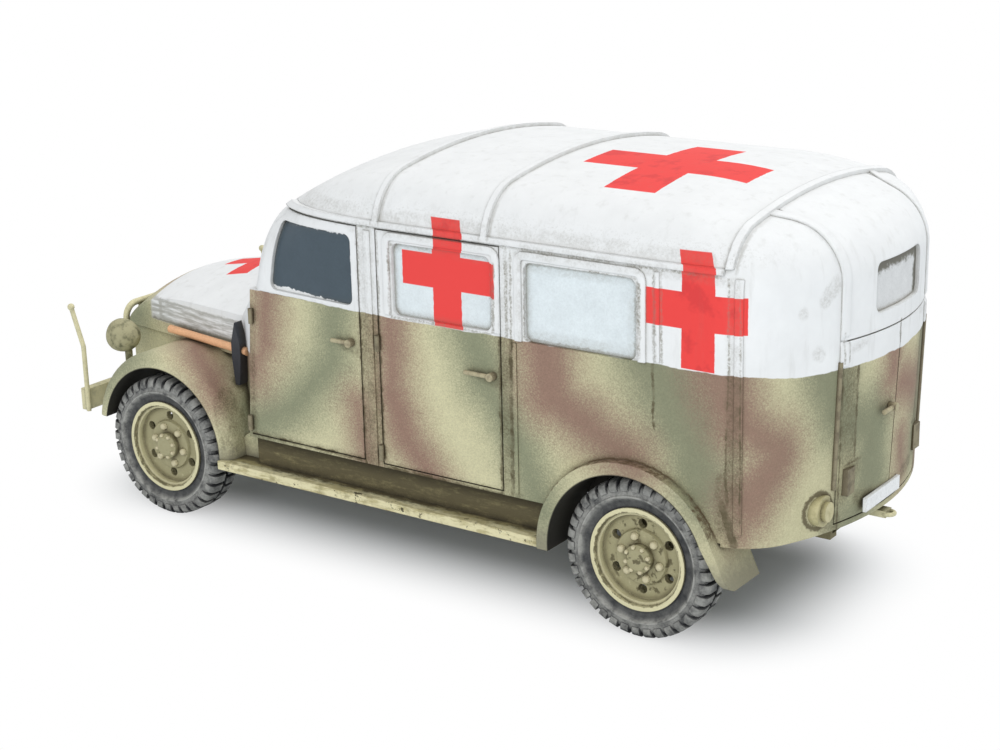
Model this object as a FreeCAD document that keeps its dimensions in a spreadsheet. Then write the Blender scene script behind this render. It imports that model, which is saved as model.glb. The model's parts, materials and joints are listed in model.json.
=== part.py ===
"""Scale model of a light four-wheel-drive military ambulance, 1:72, as separate sub-parts.

Stations run along the vehicle from the rear axle, forward positive, and those of the front end
are given ahead of the front axle.  y is to the left, and heights are measured from the axles, so
that larger tyres lift the whole vehicle.  Every finished sub-part is moved by rear_axle_x and by
tyre_radius, so that the origin lies on the ground under the middle of the overall length.
"""
import FreeCAD, Part
import math
import os
import Sketcher
from FreeCAD import Rotation, Vector

# --------------------------------------------------------------------------- sizes, mm
SIZES = (
    # alias, value, what it is
    ("rear_axle_x", -21.3, "station of the rear axle in the part's frame"),
    ("wheelbase", 45.1, "between the axles"),
    ("wheel_inset", 1.7, "middle of a tyre inside the load body's side"),
    ("tyre_radius", 5.85, "outside of the tread"),
    ("tyre_width", 3.0, "widest part of the tyre"),
    ("tread_width", 2.5, "flat part of the tread"),
    ("shoulder_drop", 0.45, "tread edge below the tread's middle"),
    ("rim_radius", 3.6, "seat of the tyre on the rim"),
    ("rim_width", 2.6, "over the rim flanges"),
    ("rim_flange", 0.2, "height of the flange above the seat"),
    ("rim_wall", 0.38, "thickness of the rim's barrel"),
    ("rim_lip", 0.3, "depth of the step inside the flange"),
    ("disc_inset", 0.85, "rim face to the wheel disc"),
    ("disc_wall", 0.5, "thickness of the wheel disc"),
    ("disc_boss", 0.25, "raised middle of the wheel disc"),
    ("vent_circle", 2.45, "radius of the circle of vent holes"),
    ("vent_radius", 0.36, "radius of a vent hole"),
    ("vent_count", 6, "vent holes in a wheel disc"),
    ("hub_radius", 1.05, "wheel hub"),
    ("hub_cap_out", 0.1, "hub cap beyond the rim face"),
    ("hub_gap", 0.15, "wheel hub to the brake drum"),
    ("pin_radius", 0.55, "stub axle that carries the wheel"),
    ("pin_clearance", 0.05, "running clearance in the hub"),
    ("pin_end", 0.35, "end of the stub axle outside the tyre's middle"),
    ("axle_radius", 0.65, "axle tube"),
    ("axle_pad", 0.05, "spring pad above the axle tube"),
    ("diff_radius", 1.55, "differential housing"),
    ("diff_nose", 1.9, "pinion flange from the axle"),
    ("diff_flange", 0.8, "radius of the pinion flange"),
    ("drum_radius", 2.3, "brake drum"),
    ("drum_inset", 0.75, "drum's outer face inside the tyre's middle"),
    ("drum_width", 1.4, "brake drum"),
    ("knuckle_inset", 2.8, "steering knuckle inside the tyre's middle"),
    ("knuckle_radius", 0.75, "steering knuckle"),
    ("knuckle_height", 3.0, "steering knuckle"),
    ("track_rod_x", 2.4, "track rod behind the front axle"),
    ("track_rod_drop", 0.9, "track rod below the front axle"),
    ("track_rod_radius", 0.25, "track rod and its arms"),
    ("sill_z", 2.8, "underside of the body"),
    ("skirt_z", 2.55, "lower edge of the tail"),
    ("belt_z", 14.65, "waist line"),
    ("rail_z", 21.3, "underside of the drip rail"),
    ("rail_height", 0.4, "drip rail"),
    ("rail_proud", 0.28, "drip rail and roof ribs beyond the skin"),
    ("crest_z", 25.85, "top of the roof"),
    ("crown_drop", 1.6, "roof crown over half the width"),
    ("nose_fall_x", 20.0, "station where the roof starts to fall forward"),
    ("nose_fall_radius", 24.0, "radius of the roof that falls forward"),
    ("tail_fall_x", 0.0, "station where the roof starts to fall backward"),
    ("tail_fall_radius", 27.0, "radius of the roof that falls backward"),
    ("roof_edge_radius", 4.0, "rounding along the roof's edge"),
    ("header_radius", 1.5, "rounding above the windscreen"),
    ("wall", 1.0, "thickness of the body's walls"),
    ("half_width", 13.4, "side of the load body from the centre line"),
    ("cab_inset", 1.05, "side of the cab at the dash inside the load body's side"),
    ("cab_kink_x", 23.5, "station where the cab starts to narrow"),
    ("cab_kink_blend", 3.0, "length of the bend each side of that station"),
    ("dash_x", 35.2, "front of the cab at the waist line"),
    ("header_x", 33.4, "front of the cab at the rail"),
    ("tail_x", -13.25, "rear of the body at the waist line"),
    ("tail_low_x", -12.75, "rear of the body at its lower edge"),
    ("corner_x", -6.7, "joint between the roof and the tail"),
    ("corner_start_x", -5.7, "station where the rear corners start"),
    ("corner_radius", 5.0, "rear corners seen from above"),
    ("panel_gap", 0.1, "joint round doors and flaps"),
    ("pillar_wall", 0.7, "thickness of the windscreen pillars along the vehicle"),
    ("screen_depth", 1.0, "cab's front panel between the pillars, behind their rear edge"),
    ("glass_inset", 0.3, "window pane below the skin"),
    ("glass_wall", 0.5, "thickness of a window pane"),
    ("glass_corner", 0.6, "rounded corner of a window"),
    ("floor_wall", 0.8, "thickness of the floor"),
    ("rib_width", 0.5, "roof rib"),
    ("post_half", 0.6, "half the post between the two windscreens"),
    ("screen_margin", 1.65, "windscreen to the cab's side"),
    ("screen_low_z", 15.85, "lower edge of the windscreens"),
    ("screen_high_z", 20.55, "upper edge of the windscreens"),
    ("rear_door_half", 6.6, "outer edge of a rear door"),
    ("rear_door_low", 0.5, "rear doors above the tail's lower edge"),
    ("ledge_z", 16.05, "joint between rear doors and flap"),
    ("flap_half", 6.8, "outer edge of the rear flap"),
    ("flap_top_gap", 0.45, "rear flap behind the joint between roof and tail"),
    ("rear_glass_half", 3.5, "rear window"),
    ("rear_glass_low_z", 17.25, "lower edge of the rear window"),
    ("rear_glass_high_z", 20.75, "upper edge of the rear window"),
    ("tyre_room", 0.45, "tyre to the wheel arches"),
    ("rear_arch_x", 0.3, "centre of the rear wheel arch"),
    ("rear_arch_z", 0.15, "centre of the rear wheel arch"),
    ("arch_lip", 0.95, "radial width of the rear arch's lip"),
    ("guard_inset", 2.3, "mudguard's inner wall inside the tyre's middle"),
    ("guard_flare", 0.8, "mudguard beyond the load body's side"),
    ("guard_wall", 0.4, "thickness of the mudguard's inner wall"),
    ("mud_flap_x", -7.9, "lower end of the mud flap"),
    ("mud_flap_wall", 0.55, "thickness of the mud flap"),
    ("mud_flap_angle", 155.0, "where the mud flap leaves the arch, degrees"),
    ("mud_flap_round", 1.0, "rounded outer corner of the mud flap"),
    ("board_z", -0.35, "underside of the running board"),
    ("board_wall", 0.7, "thickness of the running board"),
    ("board_gap", 0.05, "running board to the rear mudguard"),
    ("board_toe", 0.2, "running board's front end behind the front arch"),
    ("board_inset", 2.0, "board's inner edge inside the body's side"),
    ("board_out", 0.6, "board's outer edge beyond the body's side"),
    ("sill_inset", 1.4, "sill board's inner face inside the body's side"),
    ("sill_wall", 0.5, "thickness of the sill board"),
    ("front_arch_back", 0.3, "centre of the front wheel arch behind the front axle"),
    ("front_arch_z", 0.55, "centre of the front wheel arch"),
    ("fender_wall", 1.2, "fender from the opening to its crown"),
    ("fender_out", 0.2, "fender's edge beyond the load body's side"),
    ("fender_round", 1.0, "rounding along the fender's edge"),
    ("fender_toe_z", 1.75, "lower end of the fender's front"),
    ("bay_half_width", 6.4, "side of the engine bay"),
    ("bay_front", 9.4, "front of the engine bay ahead of the front axle"),
    ("bay_top_z", 7.55, "joint between engine bay and hood"),
    ("cowl_crease_z", 14.05, "cowl's side crease at the dash"),
    ("cowl_crest_z", 15.05, "cowl's crest at the dash"),
    ("cowl_inset", 0.25, "cowl inside the cab's side at the dash"),
    ("grille_half_width", 5.4, "grille opening"),
    ("grille_low_z", 3.45, "grille opening"),
    ("grille_high_z", 7.15, "grille opening"),
    ("grille_depth", 1.2, "grille pocket"),
    ("grille_back", 0.3, "plate behind the grille bars"),
    ("grille_bar_depth", 0.6, "depth of a grille bar"),
    ("grille_bars", 9, "upright bars in the grille"),
    ("grille_bar", 0.45, "width of a grille bar"),
    ("frame_inner", 4.4, "inner side of a frame rail"),
    ("frame_outer", 5.4, "outer side of a frame rail"),
    ("frame_z", 1.25, "underside of a frame rail"),
    ("frame_web", 0.35, "thickness of a rail's web and flanges"),
    ("frame_rear_x", -11.0, "rear end of the frame"),
    ("frame_front", 9.9, "front end of the frame ahead of the front axle"),
    ("member_width", 0.7, "crossmember along the vehicle"),
    ("bumper_wall", 0.8, "depth of the bumper"),
    ("bumper_low_z", 1.15, "underside of the bumper"),
    ("bumper_high_z", 2.95, "top of the bumper"),
    ("bumper_inset", 1.4, "bumper's end inside the load body's side"),
    ("bumper_round", 0.3, "upright corners of the bumper"),
    ("guard_top_z", 9.05, "top bar of the brush guard"),
    ("guard_half_width", 6.3, "outer posts of the brush guard"),
    ("guard_sink", 0.2, "brush guard's feet in the bumper"),
    ("guard_tube", 0.28, "radius of the brush guard's tubes"),
    ("guard_bar", 0.22, "radius of the bars inside the brush guard"),
    ("guard_bend", 1.2, "corner of the brush guard"),
    ("guard_bars", 6, "upright bars inside the brush guard"),
    ("rod_radius", 0.2, "width rod"),
    ("rod_out", 0.04, "width rod beyond the bumper's end"),
    ("rod_bead", 0.3, "bead on a width rod"),
    ("rod_bend", 0.8, "bend of a width rod"),
    ("rod_knee_z", 6.85, "bend of a width rod"),
    ("rod_tip_z", 10.15, "tip of a width rod"),
    ("rod_lean", 1.1, "tip of a width rod ahead of its foot"),
    ("lamp_front", 8.3, "front of a headlight ahead of the front axle"),
    ("lamp_inset", 3.9, "headlight inside the load body's side"),
    ("lamp_z", 7.55, "middle of a headlight"),
    ("lamp_radius", 1.35, "headlight bowl"),
    ("lamp_length", 2.5, "headlight bowl"),
    ("lamp_edge", 0.25, "width of the headlight's rim"),
    ("lamp_post", 0.28, "radius of the headlight's post"),
    ("lamp_post_length", 4.2, "headlight's post, down into the fender"),
    ("spring_half_length", 5.2, "leaf spring"),
    ("spring_width", 0.9, "leaf spring"),
    ("spring_wall", 0.4, "leaf spring pack"),
    ("gearbox_rear_x", 22.5, "rear of the gearbox"),
    ("gearbox_length", 7.0, "gearbox"),
    ("gearbox_half_width", 1.7, "gearbox"),
    ("gearbox_low_z", 0.05, "underside of the gearbox"),
    ("gearbox_round", 0.7, "rounded edges of the gearbox"),
    ("gearbox_bearer", 1.5, "frame bearer inside the gearbox's ends"),
    ("shaft_radius", 0.4, "drive shaft"),
    ("shaft_rise", 0.6, "drive shaft's height at the gearbox"),
    ("sump_back", 2.1, "rear of the sump ahead of the front axle"),
    ("sump_length", 5.8, "engine sump"),
    ("sump_half_width", 2.6, "engine sump"),
    ("sump_low_z", 0.55, "underside of the sump"),
    ("sump_round", 0.8, "rounded edges of the sump"),
    ("tank_rear_x", 12.0, "rear of the fuel tank"),
    ("tank_length", 9.5, "fuel tank"),
    ("tank_gap", 0.6, "fuel tank to the frame rail"),
    ("tank_width", 5.0, "fuel tank"),
    ("tank_low_z", 0.35, "underside of the fuel tank"),
    ("tank_round", 0.7, "rounded edges of the fuel tank"),
    ("muffler_rear_x", 9.0, "rear of the silencer"),
    ("muffler_length", 9.0, "silencer"),
    ("muffler_radius", 1.0, "silencer"),
    ("muffler_y", -8.2, "silencer from the centre line"),
    ("muffler_z", 1.45, "middle of the silencer"),
    ("pipe_radius", 0.35, "exhaust pipe"),
    ("pipe_length", 11.0, "exhaust pipe ahead of the silencer"),
    ("hanger_wall", 0.6, "exhaust hanger along the vehicle"),
    ("hanger_half_width", 0.2, "exhaust hanger across the vehicle"),
    ("pick_gap", 0.3, "middle of the pickaxe's head behind the hood"),
    ("pick_y", 10.0, "pickaxe's head from the centre line"),
    ("pick_half_width", 0.45, "half the thickness of the pickaxe's head"),
    ("pick_low_z", 5.65, "lower point of the pickaxe's head"),
    ("pick_high_z", 10.85, "upper point of the pickaxe's head"),
    ("pick_eye", 1.4, "height of the eye round the handle"),
    ("pick_rise", 0.4, "pickaxe's handle above the fender's crown"),
    ("pick_reach", 10.2, "length of the pickaxe's handle"),
    ("pick_turn", 1.75, "handle's front end inside its rear end"),
    ("pick_radius", 0.33, "pickaxe's handle"),
    ("tail_lamp_y", 7.9, "tail lamp from the centre line"),
    ("tail_lamp_z", 4.35, "middle of the tail lamp"),
    ("tail_lamp_radius", 1.1, "rim of the tail lamp"),
    ("tail_lens_radius", 0.7, "lens of the tail lamp"),
    ("tail_lamp_depth", 0.3, "rim of the tail lamp beyond the skin"),
    ("tail_lens_depth", 0.65, "lens of the tail lamp beyond the skin"),
    ("plate_low_z", 3.3, "underside of the number plate"),
    ("plate_height", 1.0, "number plate"),
    ("plate_right_y", -1.4, "right end of the number plate"),
    ("plate_length", 5.6, "number plate"),
    ("plate_wall", 0.25, "number plate"),
    ("hook_reach", 1.9, "tow hook's arm behind the frame"),
    ("hook_half_width", 0.5, "tow hook's arm"),
    ("hook_wall", 0.5, "thickness of the tow hook's arm"),
    ("hook_ring", 0.42, "radius of the hook's ring"),
    ("hook_wire", 0.16, "thickness of the hook's ring"),
    ("grip_radius", 0.17, "bar of a door handle"),
    ("grip_out", 0.35, "bar of a door handle beyond the skin"),
    ("boss_radius", 0.3, "pivot of a door handle"),
    ("boss_out", 0.6, "pivot of a door handle beyond the skin"),
    ("boss_inset", 0.3, "pivot from the end of the bar"),
    ("fitting_gap", 0.03, "fittings off the skin"),
    ("rear_grip_z", 10.15, "handle of the rear doors"),
    ("rear_grip_y", 0.7, "inner end of the rear doors' handle"),
    ("rear_grip_length", 1.9, "handle of the rear doors"),
    ("hinge_radius", 0.2, "door hinge"),
    ("hinge_length", 1.2, "side door hinge"),
    ("strip_low_z", 5.6, "lower end of the rear doors' hinge strips"),
    ("strip_out", 0.3, "hinge strip outside a rear door's edge"),
    ("bracket_low_z", 4.95, "lower end of the hinge bracket"),
    ("bracket_inset", 1.1, "middle of the hinge bracket inside a rear door's edge"),
    ("bracket_height", 1.9, "hinge bracket"),
    ("bracket_width", 1.1, "hinge bracket"),
    ("bracket_wall", 0.3, "hinge bracket"),
)

WINDOWS = (
    # name, rear x at the foot, front x at the foot, front x at the head, low z, high z
    ("cab_window", 24.2, 32.9, 31.9, 14.95, 20.35),
    ("side_window", 11.6, 20.3, 20.3, 14.85, 20.25),
    ("load_window", -0.2, 8.8, 8.8, 14.55, 20.25),
)

SIDE_DOORS = (
    # name, rear x, front x at the foot, at the waist, at the head, low z, high z
    ("cab_door", 23.6, 35.0, 34.5, 32.8, 3.15, 21.05),
    ("side_door", 10.9, 21.7, 21.7, 21.7, 3.15, 21.05),
)

HANDLES = (
    # rear end, front end, height of a side door's handle
    (24.1, 26.1, 12.15),
    (11.2, 13.8, 11.65),
)

HINGES = (
    # station, heights of a side door's hinges
    (21.75, (12.55, 4.05)),
    (34.9, (12.55, 4.05)),
)

HOOD_SECTIONS = (
    # station ahead of the front axle, half width, height of the side crease, height of the crest
    (-5.9, 9.1, 11.05, 13.75),
    (-0.1, 8.1, 10.95, 13.05),
    (4.9, 7.2, 10.55, 12.15),
    (8.1, 6.7, 9.45, 10.85),
    (9.8, 6.4, 8.05, 9.05),
)

ROOF_RIBS = (-7.0, 12.0, 21.6)
FRAME_MEMBERS = (-11.0, -3.0, 8.5, 20.0, 32.0)
FAR = 20.0  # how far cutting shapes reach beyond what they cut

VALUE = {alias: value for alias, value, _ in SIZES}

doc = FreeCAD.newDocument("ambulance_model")
sheet = doc.addObject("Spreadsheet::Sheet", "Sizes")
for row, (alias, value, meaning) in enumerate(SIZES, start=1):
    sheet.set(f"A{row}", str(value))
    sheet.setAlias(f"A{row}", alias)
    sheet.set(f"B{row}", meaning)
doc.recompute()

SUBPARTS = []


def size(alias):
    """The value of a named size, as the sheet holds it."""
    return VALUE[alias]


def ahead(alias):
    """The station of something given ahead of the front axle."""
    return size("wheelbase") + size(alias)


def subpart(obj, label, x="0"):
    """Registers a finished object and moves it from the axles' stations and heights."""
    obj.Label = label
    obj.setExpression(".Placement.Base.x", f"Sizes.rear_axle_x + {x}")
    obj.setExpression(".Placement.Base.z", "Sizes.tyre_radius")
    SUBPARTS.append(obj)
    return obj


def shaped(label, shape):
    """A sub-part whose form is worked out below from the sizes."""
    solids = shape.Solids
    obj = doc.addObject("Part::Feature", label)
    obj.Shape = solids[0] if len(solids) == 1 else Part.makeCompound(solids)
    return subpart(obj, label)


def mirrored(shape):
    return shape.mirror(Vector(0, 0, 0), Vector(0, 1, 0))


def pair(label, shape):
    """A left sub-part and its mirror image on the right."""
    shaped(f"{label}_left", shape)
    shaped(f"{label}_right", mirrored(shape))


def both(shape):
    return Part.makeCompound(shape.Solids + mirrored(shape).Solids)


def box(x0, x1, y0, y1, z0, z1):
    return Part.makeBox(x1 - x0, y1 - y0, z1 - z0, Vector(x0, y0, z0))


def slab(x0, x1, z0, z1):
    """A box right across the vehicle."""
    return box(x0, x1, -FAR, FAR, z0, z1)


def rod(start, end, radius):
    run = Vector(*end) - Vector(*start)
    return Part.makeCylinder(radius, run.Length, Vector(*start), run)


def fused(shapes):
    return shapes[0].multiFuse(shapes[1:]).removeSplitter()


def trimmed(shape, *neighbours):
    """What is left of a piece outside its neighbours: its largest solid."""
    for neighbour in neighbours:
        shape = shape.cut(neighbour)
    return max(shape.Solids, key=lambda solid: solid.Volume)


def side_prism(points, y0, y1):
    """A prism across the vehicle from an outline of (x, z) points."""
    corners = [Vector(x, y0, z) for x, z in points]
    return Part.Face(Part.makePolygon(corners + corners[:1])).extrude(Vector(0, y1 - y0, 0))


def tail_prism(half_width, low, high, x0, x1):
    """A box along the vehicle that is symmetric about the centre line."""
    return box(x0, x1, -half_width, half_width, low, high)


def rounded(solid, axis, radius):
    """Rounds the straight edges of a prism that run along the given axis."""
    edges = []
    for edge in solid.Edges:
        run = edge.Vertexes[-1].Point - edge.Vertexes[0].Point
        if run.Length > 0.1 and abs(abs(run.normalize().dot(axis)) - 1) < 1e-6:
            edges.append(edge)
    return solid.makeFillet(radius, edges)


ALONG = Vector(1, 0, 0)
ACROSS = Vector(0, 1, 0)
UP = Vector(0, 0, 1)

# places across the vehicle that follow from the sizes
half_width = size("half_width")
cab_half_width = half_width - size("cab_inset")
wheel_y = half_width - size("wheel_inset")
guard_inner = wheel_y - size("guard_inset")
guard_outer = half_width + size("guard_flare")
fender_outer = half_width + size("fender_out")
bumper_half = half_width - size("bumper_inset")
spring_y = (size("frame_inner") + size("frame_outer")) / 2

# --------------------------------------------------------------------------- body form
def bow_radius(tail, half, corner_radius):
    """Radius of the bowed tail that runs tangent into the rear corners."""
    back = tail - size("corner_start_x")
    centre_y = half - corner_radius
    return (corner_radius**2 - back**2 - centre_y**2) / (2 * (back + corner_radius))


def plan_wire(z, half, cab_half, tail, front, corner_radius):
    """The body seen from above: cab sides, load sides, round corners, bowed tail."""
    kink_x = size("cab_kink_x")
    blend = size("cab_kink_blend")
    corner_x = size("corner_start_x")
    turn = math.atan2(half - cab_half, front - kink_x)
    bend_rear = (kink_x - blend, half)
    bend_front = (kink_x + blend * math.cos(turn), half - blend * math.sin(turn))
    bend_radius = blend / math.tan(turn / 2)
    bend_mid = (
        bend_rear[0] + bend_radius * math.sin(turn / 2),
        half - bend_radius * (1 - math.cos(turn / 2)),
    )
    centre_y = half - corner_radius
    bow = bow_radius(tail, half, corner_radius)
    bow_x = tail + bow
    reach = math.hypot(corner_x - bow_x, centre_y)
    corner_end = (bow_x + (corner_x - bow_x) / reach * bow, centre_y / reach * bow)
    sweep = math.atan2(corner_end[1] - centre_y, corner_end[0] - corner_x)
    half_sweep = (math.pi / 2 + sweep) / 2
    corner_mid = (
        corner_x + corner_radius * math.cos(half_sweep),
        centre_y + corner_radius * math.sin(half_sweep),
    )

    def at(point, side=1):
        return Vector(point[0], side * point[1], z)

    def half_outline(side):
        return [
            Part.LineSegment(at((front, cab_half), side), at(bend_front, side)),
            Part.Arc(at(bend_front, side), at(bend_mid, side), at(bend_rear, side)),
            Part.LineSegment(at(bend_rear, side), at((corner_x, half), side)),
            Part.Arc(at((corner_x, half), side), at(corner_mid, side), at(corner_end, side)),
        ]

    nose = Part.LineSegment(at((front, cab_half), -1), at((front, cab_half)))
    bow_arc = Part.Arc(at(corner_end), at((tail, 0)), at(corner_end, -1))
    curves = [nose] + half_outline(1) + [bow_arc] + half_outline(-1)[::-1]
    return Part.Wire(Part.__sortEdges__([curve.toShape() for curve in curves]))


def roof_section(x, crest, low_z):
    """The crowned roof across the vehicle, closed below at low_z."""
    wide = half_width + size("wall")
    crown_radius = (half_width**2 + size("crown_drop") ** 2) / (2 * size("crown_drop"))
    edge_z = crest - crown_radius + math.sqrt(crown_radius**2 - wide**2)
    low_left, low_right = Vector(x, wide, low_z), Vector(x, -wide, low_z)
    left, right = Vector(x, wide, edge_z), Vector(x, -wide, edge_z)
    edges = [
        Part.LineSegment(low_right, low_left).toShape(),
        Part.LineSegment(low_left, left).toShape(),
        Part.Arc(left, Vector(x, 0, crest), right).toShape(),
        Part.LineSegment(right, low_right).toShape(),
    ]
    return Part.Face(Part.Wire(edges))


def roof_mass(inset):
    """Everything under the roof, moved inwards by inset: crowned, and falling at both ends."""
    crest = size("crest_z") - inset
    nose_x, tail_x = size("nose_fall_x"), size("tail_fall_x")
    nose_low = size("crest_z") - size("nose_fall_radius")
    tail_low = size("crest_z") - size("tail_fall_radius")
    nose = roof_section(nose_x, crest, nose_low).revolve(Vector(nose_x, 0, nose_low), ACROSS, 80)
    tail = roof_section(tail_x, crest, tail_low).revolve(Vector(tail_x, 0, tail_low), ACROSS, -80)
    low_z = min(nose_low, tail_low)
    middle = roof_section(tail_x, crest, low_z).extrude(Vector(nose_x - tail_x, 0, 0))
    return middle.multiFuse([nose, tail])


def in_front_of_windscreen(inset):
    """The space ahead of the raked windscreen."""
    foot = Vector(size("dash_x") - inset, 0, size("belt_z"))
    head = Vector(size("header_x") - inset, 0, size("rail_z"))
    rake = (head - foot) * 3
    top = foot + rake
    bottom = foot - rake
    far = size("dash_x") + FAR
    points = ((bottom.x, bottom.z), (top.x, top.z), (far, top.z), (far, bottom.z))
    return side_prism(points, -FAR, FAR)


def is_sharp(edge, solid):
    """Whether the faces on both sides of an edge meet at an angle."""
    normals = []
    point = edge.valueAt((edge.FirstParameter + edge.LastParameter) / 2)
    for face in solid.ancestorsOfType(edge, Part.Face):
        normals.append(face.normalAt(*face.Surface.parameter(point)))
    return len(normals) == 2 and abs(normals[0].dot(normals[1])) < 0.999


def roof_edges(solid, header):
    """The sharp edges above the rail: the windscreen's header, or all the others."""
    found = []
    for edge in solid.Edges:
        bounds = edge.BoundBox
        across = bounds.XMin > size("nose_fall_x") and bounds.YLength > half_width
        high = bounds.ZMin > size("rail_z") - 2 * size("wall")
        if high and across == header and is_sharp(edge, solid):
            found.append(edge)
    return found


def body_form(inset):
    """The body's outer form, or that form moved inwards by inset."""
    half = half_width - inset
    cab_half = cab_half_width - inset
    tail = size("tail_x") + inset
    corner_radius = size("corner_radius") - inset
    belt = size("belt_z")
    beyond = size("dash_x") + size("wall")
    upper = Part.Face(plan_wire(belt, half, cab_half, tail, beyond, corner_radius))
    upper = upper.extrude(Vector(0, 0, size("crest_z") - belt + size("wall")))
    upper = upper.common(roof_mass(inset)).cut(in_front_of_windscreen(inset)).Solids[0]
    upper = upper.makeFillet(size("roof_edge_radius") - inset, roof_edges(upper, False))
    header_radius = size("header_radius") - max(inset, 0)
    upper = upper.makeFillet(header_radius, roof_edges(upper, True))

    front = size("dash_x") - inset
    low_tail = size("tail_low_x") + inset
    straight = size("fitting_gap")
    low = plan_wire(size("skirt_z"), half, half - straight, low_tail, front, corner_radius)
    waist = plan_wire(belt, half, cab_half, tail, front, corner_radius)
    lower = Part.makeLoft([low, waist], True, True)
    return upper.fuse(lower).removeSplitter()


def rise(z):
    """How far a height lies from the body's lower edge to the waist, at most one."""
    return min(1.0, (z - size("skirt_z")) / (size("belt_z") - size("skirt_z")))


def skin_y(x, z):
    """Half the body's width at a station and height."""
    reach = max(0.0, x - size("cab_kink_x")) / (size("dash_x") - size("cab_kink_x"))
    return half_width - size("cab_inset") * reach * rise(z)


def skin_x(y, z):
    """Station of the bowed tail at a distance from the centre line and a height."""
    stations = []
    for tail in (size("tail_low_x"), size("tail_x")):
        bow = bow_radius(tail, half_width, size("corner_radius"))
        stations.append(tail + bow - math.sqrt(bow**2 - y**2))
    return stations[0] + (stations[1] - stations[0]) * rise(z)


def at_window(window):
    """The prism of a side window."""
    _, rear, foot, top, low, high = window
    points = ((rear, low), (foot, low), (top, high), (rear, high))
    return rounded(side_prism(points, 0, FAR), ACROSS, size("glass_corner"))


def at_door(door, gap=0.0):
    """The prism of a side door, grown by gap."""
    _, rear, foot, waist, top, low, high = door
    points = (
        (rear - gap, low - gap),
        (foot + gap, low - gap),
        (waist + gap, size("belt_z")),
        (top + gap, high + gap),
        (rear - gap, high + gap),
    )
    return side_prism(points, 0, FAR)


def mudguard_face(radius, flap_x, y):
    """Side view of the rear mudguard: front end, arch over the tyre, mud flap."""
    x = size("rear_arch_x")
    z = size("rear_arch_z")
    turn = math.radians(size("mud_flap_angle"))
    low = size("board_z")
    toe = Vector(x + radius, y, low)
    start = Vector(x + radius, y, z)
    mid = Vector(x + radius * math.cos(turn / 2), y, z + radius * math.sin(turn / 2))
    leave = Vector(x + radius * math.cos(turn), y, z + radius * math.sin(turn))
    flap = Vector(flap_x, y, low)
    edges = [
        Part.LineSegment(toe, start).toShape(),
        Part.Arc(start, mid, leave).toShape(),
        Part.LineSegment(leave, flap).toShape(),
        Part.LineSegment(flap, toe).toShape(),
    ]
    return Part.Face(Part.Wire(edges))


# --------------------------------------------------------------------------- body
outer = body_form(0)
inner = body_form(size("wall"))
below_sill = slab(size("corner_x"), size("dash_x") + FAR, size("sill_z") - FAR, size("sill_z"))
skin = outer.cut(inner).cut(below_sill)

rear_arch_radius = size("tyre_radius") + size("tyre_room")
arch_radius = rear_arch_radius + size("arch_lip")
arch_face = mudguard_face(arch_radius, size("mud_flap_x"), guard_inner)
arch_space = arch_face.extrude(Vector(0, FAR, 0))
skin = skin.cut(both(arch_space))

rail_top = size("rail_z") + size("rail_height")
roof_zone = slab(size("corner_x"), size("dash_x") + FAR, rail_top, rail_top + FAR)
shaped("roof", skin.common(roof_zone))
lower_skin = skin.cut(roof_zone)

rake_x = (size("header_x") - size("dash_x")) / (size("rail_z") - size("belt_z"))
pillar_x = size("dash_x") - size("pillar_wall")


def cab_front_outline(back):
    """Side view of the cab's front panel: upright to the waist, then raked."""
    x = pillar_x - back
    low_z = size("sill_z") - size("wall")
    top_z = size("belt_z") + size("wall") * 12
    return (
        (x + size("pillar_wall") * 0.7, low_z),
        (x, size("belt_z")),
        (x + rake_x * (top_z - size("belt_z")), top_z),
        (pillar_x + FAR, top_z),
        (pillar_x + FAR, low_z),
    )


cab_front_zone = side_prism(cab_front_outline(0), -FAR, FAR)
between_pillars = cab_half_width - size("wall") + size("fitting_gap")
screen_outline = cab_front_outline(size("screen_depth"))
cab_front_zone = cab_front_zone.fuse(side_prism(screen_outline, -between_pillars, between_pillars))
cab_front = lower_skin.common(cab_front_zone)
shell = lower_skin.cut(cab_front_zone)

for door in SIDE_DOORS:
    panel = shell.common(at_door(door))
    shell = shell.cut(both(at_door(door, size("panel_gap"))))
    for window in WINDOWS:
        panel = panel.cut(at_window(window))
    pair(door[0], panel)

load_window = WINDOWS[-1]
shell = shell.cut(both(at_window(load_window)))

glass_outer = body_form(size("glass_inset"))
glass_inner = body_form(size("glass_inset") + size("glass_wall"))
glass_skin = glass_outer.cut(glass_inner)
for window in WINDOWS:
    pair(window[0], glass_skin.common(at_window(window)))

screen_side = cab_half_width - size("screen_margin")
screen = rounded(
    box(
        size("header_x") - size("wall") * 5,
        size("dash_x") + size("wall") * 5,
        size("post_half"),
        screen_side,
        size("screen_low_z"),
        size("screen_high_z"),
    ),
    ALONG,
    size("glass_corner"),
)
shaped("cab_front", cab_front.cut(both(screen)))
shaped("windscreen", both(glass_skin.common(screen)))

# the tail: two doors below the ledge, one flap above it
gap = size("panel_gap")
far_back = size("tail_x") - size("wall")
inside = size("tail_x") + 2 * size("wall")
door_half = size("rear_door_half")
door_low = size("skirt_z") + size("rear_door_low")
ledge_z = size("ledge_z")
left_door = box(far_back, inside, gap / 2, door_half, door_low, ledge_z - gap)
door_opening = tail_prism(door_half + gap, door_low - gap, ledge_z, far_back, inside)
flap_front = size("corner_x") - size("flap_top_gap")
top_z = size("crest_z") + size("wall")
flap_zone = tail_prism(size("flap_half"), ledge_z, top_z, far_back, flap_front)
flap_opening = tail_prism(size("flap_half") + gap, ledge_z, top_z, far_back, flap_front + gap)
pair("rear_door", shell.common(left_door))
rear_light = tail_prism(
    size("rear_glass_half"), size("rear_glass_low_z"), size("rear_glass_high_z"), far_back, inside
)
rear_light = rounded(rear_light, ALONG, size("glass_corner"))
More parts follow.
